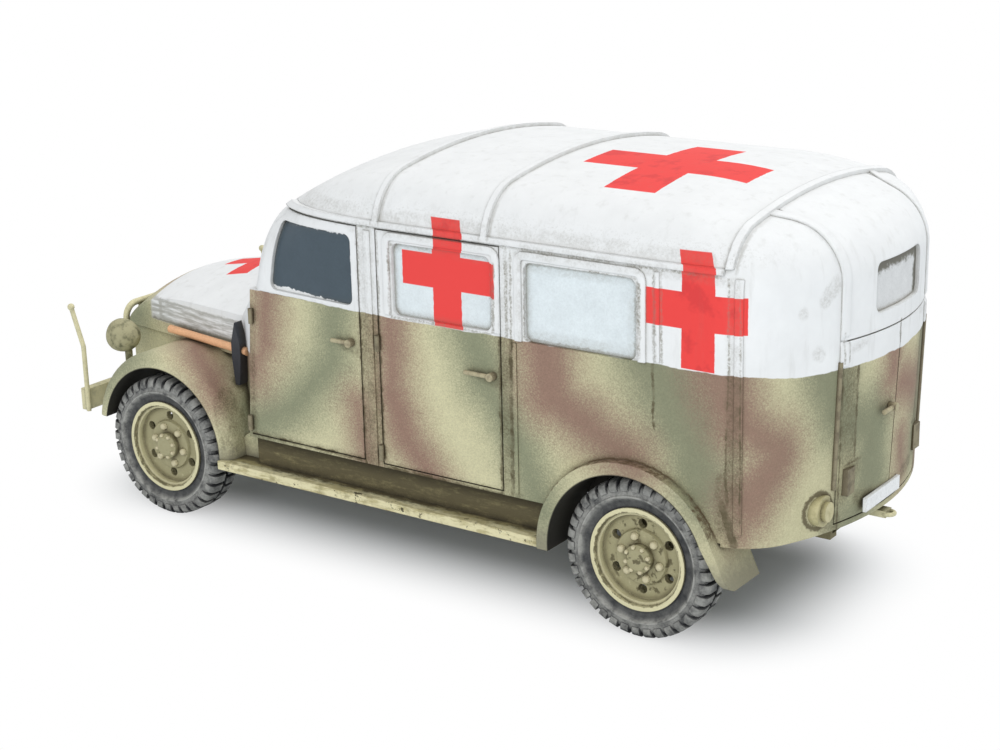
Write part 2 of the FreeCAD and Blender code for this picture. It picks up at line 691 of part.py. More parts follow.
shaped("rear_flap", shell.common(flap_zone).cut(rear_light))
shaped("rear_window", glass_skin.common(rear_light))
shaped("body_shell", shell.cut(door_opening).cut(flap_opening))

# drip rail along the sides and ribs across the roof
proud = body_form(-size("rail_proud")).cut(outer)
rail_zone = slab(size("corner_x"), size("dash_x"), size("rail_z"), rail_top)
rail_front = size("header_x") - size("wall") * 2
above_screen = box(rail_front, size("dash_x"), -screen_side, screen_side, size("rail_z"), rail_top)
trim = list(proud.common(rail_zone).cut(above_screen).Solids)
for rib_x in ROOF_RIBS:
    rib_rear = rib_x - size("rib_width") / 2
    rib_zone = slab(rib_rear, rib_rear + size("rib_width"), rail_top, rail_top + FAR)
    trim += proud.common(rib_zone).Solids
shaped("roof_trim", Part.makeCompound(trim))

floor_top = size("sill_z") + size("floor_wall")
floor_zone = slab(far_back, size("dash_x") - size("wall"), size("sill_z"), floor_top)
shaped("floor", inner.common(floor_zone).cut(both(arch_space)))

# --------------------------------------------------------------------------- mudguards
guard_block = arch_face.extrude(Vector(0, guard_outer - guard_inner, 0))
inside_y = guard_inner + size("guard_wall")
flap_inside = size("mud_flap_x") + size("mud_flap_wall")
guard_room = mudguard_face(rear_arch_radius, flap_inside, inside_y).extrude(Vector(0, FAR, 0))
open_low = box(-FAR, FAR, guard_inner - gap, inside_y, -FAR, size("sill_z"))
arch_front = size("rear_arch_x") + rear_arch_radius
toe_room = box(flap_inside, arch_front, inside_y, FAR, size("board_z") - gap, size("board_z") + gap)
corner = size("mud_flap_round")
flap_corner = box(
    size("mud_flap_x") - size("wall"),
    size("rear_arch_x") - rear_arch_radius / 2,
    guard_outer - corner,
    guard_outer,
    size("board_z"),
    size("board_z") + corner,
)
round_start = (size("mud_flap_x") - size("wall"), guard_outer - corner, size("board_z") + corner)
round_end = (size("rear_arch_x"), guard_outer - corner, size("board_z") + corner)
flap_corner = flap_corner.cut(rod(round_start, round_end, corner))
pair("rear_mudguard", guard_block.cut(guard_room).cut(open_low).cut(toe_room).cut(flap_corner))


# --------------------------------------------------------------------------- hood and fenders
def hood_section(x, half, crease, crest, low):
    left_low, right_low = Vector(x, half, low), Vector(x, -half, low)
    left, right = Vector(x, half, crease), Vector(x, -half, crease)
    return Part.Wire([
        Part.LineSegment(right_low, left_low).toShape(),
        Part.LineSegment(left_low, left).toShape(),
        Part.Arc(left, Vector(x, 0, crest), right).toShape(),
        Part.LineSegment(right, right_low).toShape(),
    ])


hood_low = size("bay_top_z")
sections = [(size("wheelbase") + row[0],) + row[1:] for row in HOOD_SECTIONS]
hood = Part.makeLoft([hood_section(*row, hood_low) for row in sections], True, False)
shaped("hood", hood)
hood_rear_x = sections[0][0]
cowl_half = cab_half_width - size("cowl_inset")
cowl_high = (size("cowl_crease_z"), size("cowl_crest_z"))
cowl_rear = hood_section(size("dash_x"), cowl_half, *cowl_high, size("sill_z"))
cowl_front = hood_section(*sections[0], size("sill_z"))
cowl = Part.makeLoft([cowl_rear, cowl_front], True, True).cut(outer)
shaped("cowl", cowl)

bay_half = size("bay_half_width")
bay = box(hood_rear_x, ahead("bay_front"), -bay_half, bay_half, size("sill_z"), hood_low)
grille_half = size("grille_half_width")
grille_low, grille_high = size("grille_low_z"), size("grille_high_z")
grille_x = ahead("bay_front") - size("grille_depth")
pocket = tail_prism(grille_half, grille_low, grille_high, grille_x, ahead("bay_front") + FAR)
shaped("engine_bay", bay.cut(pocket))

bars_x = grille_x + size("grille_back")
bars = [tail_prism(grille_half, grille_low, grille_high, grille_x, bars_x)]
pitch = 2 * grille_half / (size("grille_bars") + 1)
for index in range(1, int(size("grille_bars")) + 1):
    y = -grille_half + index * pitch - size("grille_bar") / 2
    bar_front = bars_x + size("grille_bar_depth")
    bars.append(box(bars_x, bar_front, y, y + size("grille_bar"), grille_low, grille_high))
shaped("grille", fused(bars))

front_arch_x = size("wheelbase") - size("front_arch_back")
front_arch_radius = size("tyre_radius") + size("tyre_room")
crown_radius = front_arch_radius + size("fender_wall")
arch_centre = Vector(front_arch_x, bay_half, size("front_arch_z"))
fender = Part.makeCylinder(crown_radius, fender_outer - bay_half, arch_centre, ACROSS)
crown_edges = [
    edge for edge in fender.Edges
    if edge.BoundBox.YMin > bay_half and edge.Length > crown_radius * 2 * math.pi - 1
]
fender = fender.makeFillet(size("fender_round"), crown_edges)
fender = fender.cut(Part.makeCylinder(front_arch_radius, FAR, arch_centre - ACROSS, ACROSS))
toe_z = size("fender_toe_z")
fender = fender.cut(slab(front_arch_x, front_arch_x + FAR, toe_z - FAR, toe_z))
board_top = size("board_z") + size("board_wall")
fender = fender.cut(slab(front_arch_x - FAR, front_arch_x, board_top - FAR, board_top))
fender = trimmed(fender, hood, cowl, bay, outer)
pair("front_fender", fender)


# --------------------------------------------------------------------------- boards and frame
SIDES = (("left", 1), ("right", -1))


def sheet_value(text):
    """What an expression over the sheet comes to."""
    result = sheet.evalExpression(text.replace("Sizes.", ""))
    return getattr(result, "Value", result)


def bound_profile(body, label, plane, points):
    """A closed outline in a body's own plane; each point's place is a pair of expressions."""
    sketch = body.newObject("Sketcher::SketchObject", label)
    origin = [part for part in body.Origin.OriginFeatures if part.Role == plane][0]
    sketch.AttachmentSupport = [(origin, "")]
    sketch.MapMode = "FlatFace"
    doc.recompute()
    places = [(float(sheet_value(u)), float(sheet_value(v))) for u, v in points]
    count = len(points)
    for index, (u, v) in enumerate(places):
        end = places[(index + 1) % count]
        sketch.addGeometry(Part.LineSegment(Vector(u, v, 0), Vector(end[0], end[1], 0)), False)
    for index in range(count):
        sketch.addConstraint(Sketcher.Constraint("Coincident", index, 2, (index + 1) % count, 1))
    for index, (u, v) in enumerate(points):
        for kind, axis, text in (("DistanceX", 0, u), ("DistanceY", 1, v)):
            value = places[index][axis]
            number = sketch.addConstraint(Sketcher.Constraint(kind, -1, 1, index, 1, value))
            sketch.setExpression(f"Constraints[{number}]", text)
    return sketch


def padded(body, label, points, length):
    """Pads an outline of the body's cross-section along the vehicle."""
    pad = body.newObject("PartDesign::Pad", label)
    pad.Profile = bound_profile(body, f"{label}_section", "YZ_Plane", points)
    pad.setExpression("Length", length)
    doc.recompute()
    body.Tip = pad


def rectangle(side, near, far, low, high):
    corners = ((near, low), (far, low), (far, high), (near, high))
    return tuple((f"{side} * ({y})", z) for y, z in corners)


BOARD_REAR = "Sizes.rear_arch_x + Sizes.tyre_radius + Sizes.tyre_room + Sizes.arch_lip + Sizes.board_gap"
BOARD_FRONT = (
    "Sizes.wheelbase - Sizes.front_arch_back - Sizes.tyre_radius - Sizes.tyre_room - Sizes.board_toe"
)
BOARD_TOP = "Sizes.board_z + Sizes.board_wall"
for name, side in SIDES:
    body = doc.addObject("PartDesign::Body", f"running_board_{name}")
    near, far = "Sizes.half_width - Sizes.board_inset", "Sizes.half_width + Sizes.board_out"
    board = rectangle(side, near, far, "Sizes.board_z", BOARD_TOP)
    padded(body, f"board_{name}", board, f"{BOARD_FRONT} - ({BOARD_REAR})")
    near = "Sizes.half_width - Sizes.sill_inset"
    sill = rectangle(side, near, f"{near} + Sizes.sill_wall", BOARD_TOP, "Sizes.sill_z")
    padded(body, f"sill_{name}", sill, f"Sizes.dash_x - ({BOARD_REAR})")
    subpart(body, f"running_board_{name}", BOARD_REAR)

for name, side in SIDES:
    body = doc.addObject("PartDesign::Body", f"frame_rail_{name}")
    inner_y, outer_y = f"{side} * Sizes.frame_inner", f"{side} * Sizes.frame_outer"
    web_y = f"{side} * (Sizes.frame_outer - Sizes.frame_web)"
    channel = (
        (inner_y, "Sizes.frame_z"),
        (outer_y, "Sizes.frame_z"),
        (outer_y, "Sizes.sill_z"),
        (inner_y, "Sizes.sill_z"),
        (inner_y, "Sizes.sill_z - Sizes.frame_web"),
        (web_y, "Sizes.sill_z - Sizes.frame_web"),
        (web_y, "Sizes.frame_z + Sizes.frame_web"),
        (inner_y, "Sizes.frame_z + Sizes.frame_web"),
    )
    length = "Sizes.wheelbase + Sizes.frame_front - Sizes.frame_rear_x"
    padded(body, f"rail_{name}", channel, length)
    subpart(body, f"frame_rail_{name}", "Sizes.frame_rear_x")

member_low = size("frame_z") + size("frame_web")
member_high = size("sill_z") - size("frame_web")
member_half = size("frame_inner")
front_member = ahead("frame_front") - size("member_width") - size("bumper_wall")
members = []
for member_x in FRAME_MEMBERS + (front_member,):
    member_end = member_x + size("member_width")
    members.append(tail_prism(member_half, member_low, member_high, member_x, member_end))
shaped("frame_crossmembers", Part.makeCompound(members))

# --------------------------------------------------------------------------- axles and drive
pad_top = size("axle_radius") + size("axle_pad")


def axle(x, steered):
    """Tube, housing, drums and the stub axles that carry two wheels."""
    drum_out = wheel_y - size("drum_inset")
    drum_in = drum_out - size("drum_width")
    knuckle_y = wheel_y - size("knuckle_inset")
    tube_end = knuckle_y if steered else drum_in
    rod_x, rod_z = x - size("track_rod_x"), -size("track_rod_drop")
    nose = size("diff_nose")
    half_pad = size("spring_width") / 2
    parts = [
        rod((x, -tube_end, 0), (x, tube_end, 0), size("axle_radius")),
        Part.makeSphere(size("diff_radius"), Vector(x, 0, 0)),
        rod((x - nose, 0, 0), (x + nose, 0, 0), size("diff_flange")),
    ]
    for side in (1, -1):
        pin_end = wheel_y + size("pin_end")
        parts.append(rod((x, side * drum_in, 0), (x, side * drum_out, 0), size("drum_radius")))
        parts.append(rod((x, side * knuckle_y, 0), (x, side * pin_end, 0), size("pin_radius")))
        pad_y = side * spring_y
        parts.append(box(x - half_pad, x + half_pad, pad_y - half_pad, pad_y + half_pad, 0, pad_top))
        if steered:
            half = size("knuckle_height") / 2
            y = side * knuckle_y
            parts.append(rod((x, y, -half), (x, y, half), size("knuckle_radius")))
            parts.append(rod((x, y, rod_z), (rod_x, y, rod_z), size("track_rod_radius")))
    if steered:
        ends = ((rod_x, -knuckle_y, rod_z), (rod_x, knuckle_y, rod_z))
        parts.append(rod(*ends, size("track_rod_radius")))
    return fused(parts)


shaped("rear_axle", axle(0, False))
shaped("front_axle", axle(size("wheelbase"), True))


def leaf_spring(x, side):
    """A flat bowed pack between the frame rail and the axle's pad."""
    y = side * spring_y - size("spring_width") / 2
    rear, front = x - size("spring_half_length"), x + size("spring_half_length")
    wall = size("spring_wall")
    low = size("frame_z") - wall
    edges = [
        Part.Arc(Vector(rear, y, low), Vector(x, y, pad_top), Vector(front, y, low)),
        Part.LineSegment(Vector(front, y, low), Vector(front, y, low + wall)),
        Part.Arc(Vector(front, y, low + wall), Vector(x, y, pad_top + wall), Vector(rear, y, low + wall)),
        Part.LineSegment(Vector(rear, y, low + wall), Vector(rear, y, low)),
    ]
    wire = Part.Wire([edge.toShape() for edge in edges])
    return Part.Face(wire).extrude(Vector(0, size("spring_width"), 0))


springs = [leaf_spring(x, side) for x in (0, size("wheelbase")) for side in (1, -1)]
shaped("leaf_springs", Part.makeCompound(springs))

box_rear = size("gearbox_rear_x")
box_front = box_rear + size("gearbox_length")
housing = tail_prism(
    size("gearbox_half_width"), size("gearbox_low_z"), member_low, box_rear, box_front
)
housing = rounded(housing, ALONG, size("gearbox_round"))
bearer_inset = size("gearbox_bearer")
bearer_ends = (box_rear + bearer_inset, box_front - bearer_inset)
bearer = tail_prism(member_half, member_low, member_high, *bearer_ends)
shaped("gearbox", fused([housing, bearer]))
shaft_z = size("shaft_rise")
front_nose = size("wheelbase") - size("diff_nose")
shafts = [
    rod((size("diff_nose"), 0, 0), (box_rear, 0, shaft_z), size("shaft_radius")),
    rod((box_front, 0, shaft_z), (front_nose, 0, 0), size("shaft_radius")),
]
shaped("drive_shafts", Part.makeCompound(shafts))
sump_rear = ahead("sump_back")
sump = tail_prism(
    size("sump_half_width"),
    size("sump_low_z"),
    size("sill_z"),
    sump_rear,
    sump_rear + size("sump_length"),
)
shaped("engine_sump", rounded(sump, ALONG, size("sump_round")))

tank_inner = size("frame_outer") + size("tank_gap")
tank = box(
    size("tank_rear_x"),
    size("tank_rear_x") + size("tank_length"),
    tank_inner,
    tank_inner + size("tank_width"),
    size("tank_low_z"),
    size("sill_z"),
)
shaped("fuel_tank", rounded(tank, ACROSS, size("tank_round")))

muffler_y, muffler_z = size("muffler_y"), size("muffler_z")
muffler_front = size("muffler_rear_x") + size("muffler_length")
pipe_front = muffler_front + size("pipe_length")
muffler_rear_end = (size("muffler_rear_x"), muffler_y, muffler_z)
muffler_front_end = (muffler_front, muffler_y, muffler_z)
exhaust = [
    rod(muffler_rear_end, muffler_front_end, size("muffler_radius")),
    rod(muffler_front_end, (pipe_front, muffler_y, muffler_z), size("pipe_radius")),
]
for middle in ((size("muffler_rear_x") + muffler_front) / 2, pipe_front - size("muffler_radius") * 2):
    half, reach = size("hanger_half_width"), size("hanger_wall") / 2
    hanger_y = (muffler_y - half, muffler_y + half)
    exhaust.append(box(middle - reach, middle + reach, *hanger_y, muffler_z, size("sill_z")))
shaped("exhaust", fused(exhaust))

# --------------------------------------------------------------------------- front end
front_x = ahead("frame_front")
bumper_zone = (size("bumper_low_z"), size("bumper_high_z"), front_x, front_x + size("bumper_wall"))
bumper = rounded(tail_prism(bumper_half, *bumper_zone), UP, size("bumper_round"))
shaped("front_bumper", bumper)


def tube(points, bend, radius):
    """A round tube along straight runs that are joined by tangent arcs."""
    corners = [Vector(*point) for point in points]
    edges = []
    start = corners[0]
    for index in range(1, len(corners) - 1):
        corner = corners[index]
        back = (corners[index - 1] - corner).normalize()
        onward = (corners[index + 1] - corner).normalize()
        half_turn = back.getAngle(onward) / 2
        cut = bend / math.tan(half_turn)
        first, last = corner + back * cut, corner + onward * cut
        middle_way = (back + onward).normalize()
        middle = corner + middle_way * (bend / math.sin(half_turn) - bend)
        edges.append(Part.LineSegment(start, first).toShape())
        edges.append(Part.Arc(first, middle, last).toShape())
        start = last
    edges.append(Part.LineSegment(start, corners[-1]).toShape())
    path = Part.Wire(edges)
    run = corners[1] - corners[0]
    ring = Part.Wire([Part.Circle(corners[0], run, radius).toShape()])
    return path.makePipeShell([ring], True, True)


guard_x = front_x + size("bumper_wall") / 2
guard_half = size("guard_half_width")
guard_top = size("guard_top_z")
guard_foot = size("bumper_high_z") - size("guard_sink")
hoop_route = (
    (guard_x, guard_half, guard_foot),
    (guard_x, guard_half, guard_top),
    (guard_x, -guard_half, guard_top),
    (guard_x, -guard_half, guard_foot),
)
guard_parts = [tube(hoop_route, size("guard_bend"), size("guard_tube"))]
spacing = 2 * guard_half / (size("guard_bars") + 1)
for index in range(1, int(size("guard_bars")) + 1):
    y = -guard_half + index * spacing
    guard_parts.append(rod((guard_x, y, guard_foot), (guard_x, y, guard_top), size("guard_bar")))
mid_z = (guard_top + size("bumper_high_z")) / 2
mid_ends = ((guard_x, -guard_half, mid_z), (guard_x, guard_half, mid_z))
guard_parts.append(rod(*mid_ends, size("guard_bar")))
shaped("brush_guard", fused(guard_parts).cut(bumper))

rod_x = front_x - size("rod_radius")
rod_y = bumper_half + size("rod_out")
rod_tip = (rod_x + size("rod_lean"), rod_y, size("rod_tip_z"))
rod_route = ((rod_x, rod_y, size("bumper_low_z")), (rod_x, rod_y, size("rod_knee_z")), rod_tip)
stem = tube(rod_route, size("rod_bend"), size("rod_radius"))
width_rod = fused([stem, Part.makeSphere(size("rod_bead"), Vector(*rod_tip))]).cut(bumper)
shaped("width_rods", both(width_rod))


def headlight():
    """An egg-shaped bowl on a short post."""
    x, y, z = ahead("lamp_front"), half_width - size("lamp_inset"), size("lamp_z")
    length, radius, edge = size("lamp_length"), size("lamp_radius"), size("lamp_edge")
    face_radius = radius - edge / 2
    widest = Vector(x - edge, y, z + radius)
    shoulder = Vector(x - edge - length * 0.66, y, z + radius * 0.72)
    rear = Vector(x - length, y, z)
    edges = [
        Part.LineSegment(rear, Vector(x, y, z)).toShape(),
        Part.LineSegment(Vector(x, y, z), Vector(x, y, z + face_radius)).toShape(),
        Part.LineSegment(Vector(x, y, z + face_radius), widest).toShape(),
        Part.Arc(widest, shoulder, rear).toShape(),
    ]
    bowl = Part.Face(Part.Wire(edges)).revolve(Vector(x, y, z), ALONG, 360)
    post_x = x - length / 2
    post = rod((post_x, y, z - size("lamp_post_length")), (post_x, y, z), size("lamp_post"))
    return fused([bowl, post])


shaped("headlights", both(trimmed(headlight(), fender)))

# --------------------------------------------------------------------------- pickaxe
fender_top = size("front_arch_z") + crown_radius
handle_z = fender_top + size("pick_rise")
head_x, head_y = hood_rear_x - size("pick_gap"), size("pick_y")
eye = size("pick_eye") / 2
reach = size("pick_half_width")
handle_ends = (
    (head_x - 2 * reach, head_y, handle_z),
    (head_x - 2 * reach + size("pick_reach"), head_y - size("pick_turn"), handle_z),
)
handle = rod(*handle_ends, size("pick_radius"))
head_outline = (
    (head_x - reach / 2, size("pick_low_z")),
    (head_x + reach / 2, size("pick_low_z")),
    (head_x + reach, handle_z - eye),
    (head_x + reach, handle_z + eye),
    (head_x, size("pick_high_z")),
    (head_x - reach, handle_z + eye),
    (head_x - reach, handle_z - eye),
)
pick_head = side_prism(head_outline, head_y - reach, head_y + reach)
shaped("pickaxe_head", trimmed(pick_head, handle, fender, cowl, outer))
shaped("pickaxe_handle", trimmed(handle, fender, hood, cowl))

# --------------------------------------------------------------------------- tail fittings
lamp_y, lamp_z = size("tail_lamp_y"), size("tail_lamp_z")
lamp_skin = skin_x(lamp_y, lamp_z)
lamp_root = (lamp_skin + size("wall"), lamp_y, lamp_z)
lamp_parts = []
for depth, radius in (("tail_lamp_depth", "tail_lamp_radius"), ("tail_lens_depth", "tail_lens_radius")):
    lamp_parts.append(rod(lamp_root, (lamp_skin - size(depth), lamp_y, lamp_z), size(radius)))
shaped("tail_lamp", trimmed(fused(lamp_parts), outer))

plate_low, plate_right = size("plate_low_z"), size("plate_right_y")
plate_x = skin_x(0, plate_low + size("plate_height")) + size("fitting_gap")
plate = box(
    plate_x - size("plate_wall"),
    plate_x,
    plate_right,
    plate_right + size("plate_length"),
    plate_low,
    plate_low + size("plate_height"),
)
shaped("number_plate", trimmed(plate, outer))

hook_end = size("frame_rear_x") - size("hook_reach")
hook_zone = (member_low, member_low + size("hook_wall"), hook_end, size("frame_rear_x"))
hook_z = member_low + size("hook_wall") / 2
ring = Part.makeTorus(size("hook_ring"), size("hook_wire"), Vector(hook_end, 0, hook_z), UP)
shaped("tow_hook", fused([tail_prism(size("hook_half_width"), *hook_zone), ring]))

handles = []
grip_out, boss_out = size("grip_out"), size("boss_out")
for grip_rear, grip_front, z in HANDLES:
    skin = skin_y((grip_rear + grip_front) / 2, z)
    boss_x = grip_rear + size("boss_inset")
    bar = rod((grip_rear, skin + grip_out, z), (grip_front, skin + grip_out, z), size("grip_radius"))
    boss_ends = ((boss_x, skin + size("fitting_gap"), z), (boss_x, skin + boss_out, z))
    grip = fused([bar, rod(*boss_ends, size("boss_radius"))])
    handles += [grip, mirrored(grip)]
grip_z, grip_y = size("rear_grip_z"), size("rear_grip_y")
grip_end = grip_y + size("rear_grip_length")
grip_skin = skin_x(grip_y, grip_z)
grip_x = grip_skin - grip_out
boss_y = grip_y + size("boss_inset")
bar = rod((grip_x, grip_y, grip_z), (grip_x, grip_end, grip_z), size("grip_radius"))
boss_ends = ((grip_skin - boss_out, boss_y, grip_z), (grip_skin, boss_y, grip_z))
handles.append(trimmed(fused([bar, rod(*boss_ends, size("boss_radius"))]), outer))
shaped("door_handles", Part.makeCompound(handles))

hinges = []
for x, heights in HINGES:
    for z in heights:
        y = skin_y(x, z) + size("hinge_radius") + size("fitting_gap")
        half = size("hinge_length") / 2
        hinge = rod((x, y, z - half), (x, y, z + half), size("hinge_radius"))
        hinges += [hinge, mirrored(hinge)]
strip_y = size("rear_door_half") + size("strip_out")
strip_radius = size("hinge_radius")
strip_low, strip_high = size("strip_low_z"), size("belt_z")
strip_ends = (
    (skin_x(strip_y, strip_low), strip_y, strip_low),
    (skin_x(strip_y, strip_high), strip_y, strip_high),
)
bracket_low, bracket_y = size("bracket_low_z"), size("rear_door_half") - size("bracket_inset")
bracket_x = skin_x(bracket_y, bracket_low)
bracket = box(
    bracket_x - size("bracket_wall"),
    bracket_x + size("wall"),
    bracket_y - size("bracket_width") / 2,
    bracket_y + size("bracket_width") / 2,
    bracket_low,
    bracket_low + size("bracket_height"),
)
for fitting in (rod(*strip_ends, strip_radius), bracket):
    outside = trimmed(fitting, outer)
    hinges += [outside, mirrored(outside)]
shaped("door_hinges", Part.makeCompound(hinges))


# --------------------------------------------------------------------------- wheels
def revolved(label, points):
    """A body turned about the wheel's axle from an outline of (y, radius) expressions."""
    body = doc.addObject("PartDesign::Body", label)
    sketch = bound_profile(body, f"{label}_section", "YZ_Plane", points)
    turned = body.newObject("PartDesign::Revolution", f"{label}_turned")
    turned.Profile = sketch
    turned.ReferenceAxis = (sketch, ["H_Axis"])
    turned.Angle = 360
    body.Tip = turned
    return body


FACE = "Sizes.rim_width / 2"
SEAT_EDGE = f"{FACE} - Sizes.rim_flange"
FLANGE = "Sizes.rim_radius + Sizes.rim_flange"
BARREL = "Sizes.rim_radius - Sizes.rim_wall"
STEP = "Sizes.rim_radius - Sizes.rim_wall / 3"
BORE = "Sizes.pin_radius + Sizes.pin_clearance"
DISC = f"{FACE} - Sizes.disc_inset"
DISC_BACK = f"{DISC} - Sizes.disc_wall"
BOSS = f"{DISC} + Sizes.disc_boss"
BOSS_EDGE = "Sizes.vent_circle - Sizes.vent_radius"
CAP = f"{FACE} + Sizes.hub_cap_out"
HUB_BACK = "Sizes.hub_gap - Sizes.drum_inset"
BORE_END = "Sizes.pin_end + Sizes.pin_clearance"
HALF_TYRE = (
    # distance from the wheel's middle, radius
    (SEAT_EDGE, "Sizes.rim_radius"),
    (SEAT_EDGE, FLANGE),
    ("Sizes.tyre_width / 2", "(Sizes.rim_radius + Sizes.tyre_radius) / 2"),
    ("Sizes.tyre_width / 2", "Sizes.tyre_radius - Sizes.shoulder_drop"),
    ("Sizes.tread_width / 2", "Sizes.tyre_radius"),
)
TYRE = HALF_TYRE + tuple((f"-({y})", radius) for y, radius in reversed(HALF_TYRE))
RIM = (
    # distance from the wheel's middle, radius
    (f"-({FACE})", FLANGE),
    (f"-({FACE})", BARREL),
    (DISC_BACK, BARREL),
    (DISC_BACK, "Sizes.hub_radius"),
    (HUB_BACK, "Sizes.hub_radius"),
    (HUB_BACK, BORE),
    (BORE_END, BORE),
    (BORE_END, "0"),
    (CAP, "0"),
    (CAP, "Sizes.hub_radius - Sizes.rim_lip"),
    (f"{FACE} - Sizes.hub_gap", "Sizes.hub_radius"),
    (BOSS, "Sizes.hub_radius"),
    (BOSS, f"{BOSS_EDGE} - Sizes.hub_cap_out"),
    (DISC, BOSS_EDGE),
    (DISC, BARREL),
    (f"{FACE} - Sizes.rim_lip", BARREL),
    (f"{FACE} - Sizes.rim_lip", STEP),
    (FACE, STEP),
    (FACE, FLANGE),
    (SEAT_EDGE, FLANGE),
    (SEAT_EDGE, "Sizes.rim_radius"),
    (f"-({SEAT_EDGE})", "Sizes.rim_radius"),
    (f"-({SEAT_EDGE})", FLANGE),
)


def vented(body, label):
    """Cuts the ring of vent holes through a wheel's disc."""
    sketch = body.newObject("Sketcher::SketchObject", f"{label}_vent")
    origin = [part for part in body.Origin.OriginFeatures if part.Role == "XZ_Plane"][0]
    sketch.AttachmentSupport = [(origin, "")]
    sketch.MapMode = "FlatFace"
    circle = Part.Circle(Vector(0, size("vent_circle"), 0), UP, size("vent_radius"))
    sketch.addGeometry(circle, False)
    sketch.addConstraint(Sketcher.Constraint("PointOnObject", 0, 3, -2))
    place = sketch.addConstraint(Sketcher.Constraint("DistanceY", -1, 1, 0, 3, size("vent_circle")))
    sketch.setExpression(f"Constraints[{place}]", "Sizes.vent_circle")
    width = sketch.addConstraint(Sketcher.Constraint("Radius", 0, size("vent_radius")))
    sketch.setExpression(f"Constraints[{width}]", "Sizes.vent_radius")
    vent = body.newObject("PartDesign::Pocket", f"{label}_hole")
    vent.Profile = sketch
    vent.Type = "ThroughAll"
    vent.Midplane = True
    doc.recompute()
    ring = body.newObject("PartDesign::PolarPattern", f"{label}_vents")
    ring.Originals = [vent]
    axis = [part for part in body.Origin.OriginFeatures if part.Role == "Y_Axis"][0]
    ring.Axis = (axis, [""])
    ring.Angle = 360
    ring.setExpression("Occurrences", "Sizes.vent_count")
    body.Tip = ring


for end, axle_x in (("front", "Sizes.wheelbase"), ("rear", "0")):
    for name, side in SIDES:
        tyre = revolved(f"tyre_{end}_{name}", TYRE)
        rim = revolved(f"rim_{end}_{name}", RIM)
        vented(rim, f"rim_{end}_{name}")
        for body, label in ((tyre, f"tyre_{end}_{name}"), (rim, f"rim_{end}_{name}")):
            if side < 0:
                body.Placement.Rotation = Rotation(UP, 180)
            across = f"{side} * (Sizes.half_width - Sizes.wheel_inset)"
            body.setExpression(".Placement.Base.y", across)
            subpart(body, label, axle_x)

# --------------------------------------------------------------------------- checks, files
doc.recompute()
for obj in doc.Objects:
    if set(obj.State) & {"Invalid", "Error"}:
        raise RuntimeError(f"{obj.Label} failed: {obj.State}")
for obj in SUBPARTS:
    if obj.Shape.isNull() or not obj.Shape.isValid() or not obj.Shape.Solids:
        raise RuntimeError(f"{obj.Label} has no valid solid")

os.makedirs("parts", exist_ok=True)
for obj in SUBPARTS:
    obj.Shape.exportStep(f"parts/{obj.Label}.step")
whole = FreeCAD.BoundBox()
for obj in SUBPARTS:
    whole.add(obj.Shape.BoundBox)
print(len(SUBPARTS), "sub-parts,", whole)
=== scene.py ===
"""Looks of the 1:72 military ambulance: hand-painted livery, tyres, wheel nuts, fittings, floor and light.

The script lays out its pieces in stations: millimetres from the rear axle, forward positive, with
y to the vehicle's left and z above the ground, as the body itself is laid out.
"""

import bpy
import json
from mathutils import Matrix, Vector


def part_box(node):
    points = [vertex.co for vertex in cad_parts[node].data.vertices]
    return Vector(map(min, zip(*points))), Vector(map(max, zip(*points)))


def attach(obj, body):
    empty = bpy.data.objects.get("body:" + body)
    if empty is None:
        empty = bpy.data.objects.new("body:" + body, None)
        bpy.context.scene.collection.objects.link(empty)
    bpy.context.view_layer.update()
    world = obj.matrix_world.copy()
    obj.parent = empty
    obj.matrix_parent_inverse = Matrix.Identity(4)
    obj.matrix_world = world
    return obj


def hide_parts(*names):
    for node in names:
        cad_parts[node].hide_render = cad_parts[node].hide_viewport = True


bl_info = {
    "name": "Ambulance Model Looks",
    "version": (1, 0, 0),
    "blender": (4, 5, 0),
    "location": "View3D > Sidebar > Ambulance",
    "description": "Paints the ambulance model and adds its tyres, fittings, stage and light",
    "category": "Object",
}

import functools
import json
import math

import bmesh
import bpy
from bpy.props import FloatProperty, FloatVectorProperty, IntProperty, PointerProperty
from mathutils import Matrix, Vector

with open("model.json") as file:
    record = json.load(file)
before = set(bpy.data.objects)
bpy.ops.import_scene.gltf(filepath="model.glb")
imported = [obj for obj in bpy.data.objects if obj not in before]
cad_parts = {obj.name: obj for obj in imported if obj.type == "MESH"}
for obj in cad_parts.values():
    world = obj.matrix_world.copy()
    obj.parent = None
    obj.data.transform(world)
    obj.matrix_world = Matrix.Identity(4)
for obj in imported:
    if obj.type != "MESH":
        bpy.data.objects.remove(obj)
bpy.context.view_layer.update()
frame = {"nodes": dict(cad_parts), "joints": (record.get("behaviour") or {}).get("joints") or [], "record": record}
MM = 0.001
AXLES = {joint["child"]: Vector(joint["pos_m"]) for joint in frame["joints"]}
REAR_AXLE = AXLES["wheel_rear_left"].x
SLOT_OF = {part["node"]: part["material_slot"] for part in frame["record"]["subparts"]}
OPEN_REACH = 0.7 * MM
BUMP_DEPTH = 0.06 * MM


def at(x, y, z):
    """A point in the model's frame from a station, an offset to the left and a height in millimetres."""
    return Vector((REAR_AXLE + x * MM, y * MM, z * MM))


# --- user settings
def colour(name, text, value):
    """A setting for a paint."""
    return FloatVectorProperty(
        name=name, description=text, subtype="COLOR", size=3, min=0, max=1, default=value
    )


def number(name, text, value):
    """A setting for a size or a share."""
    return FloatProperty(name=name, description=text, default=value)


def count(name, text, value, least):
    """A setting for how many there are."""
    return IntProperty(name=name, description=text, default=value, min=least)


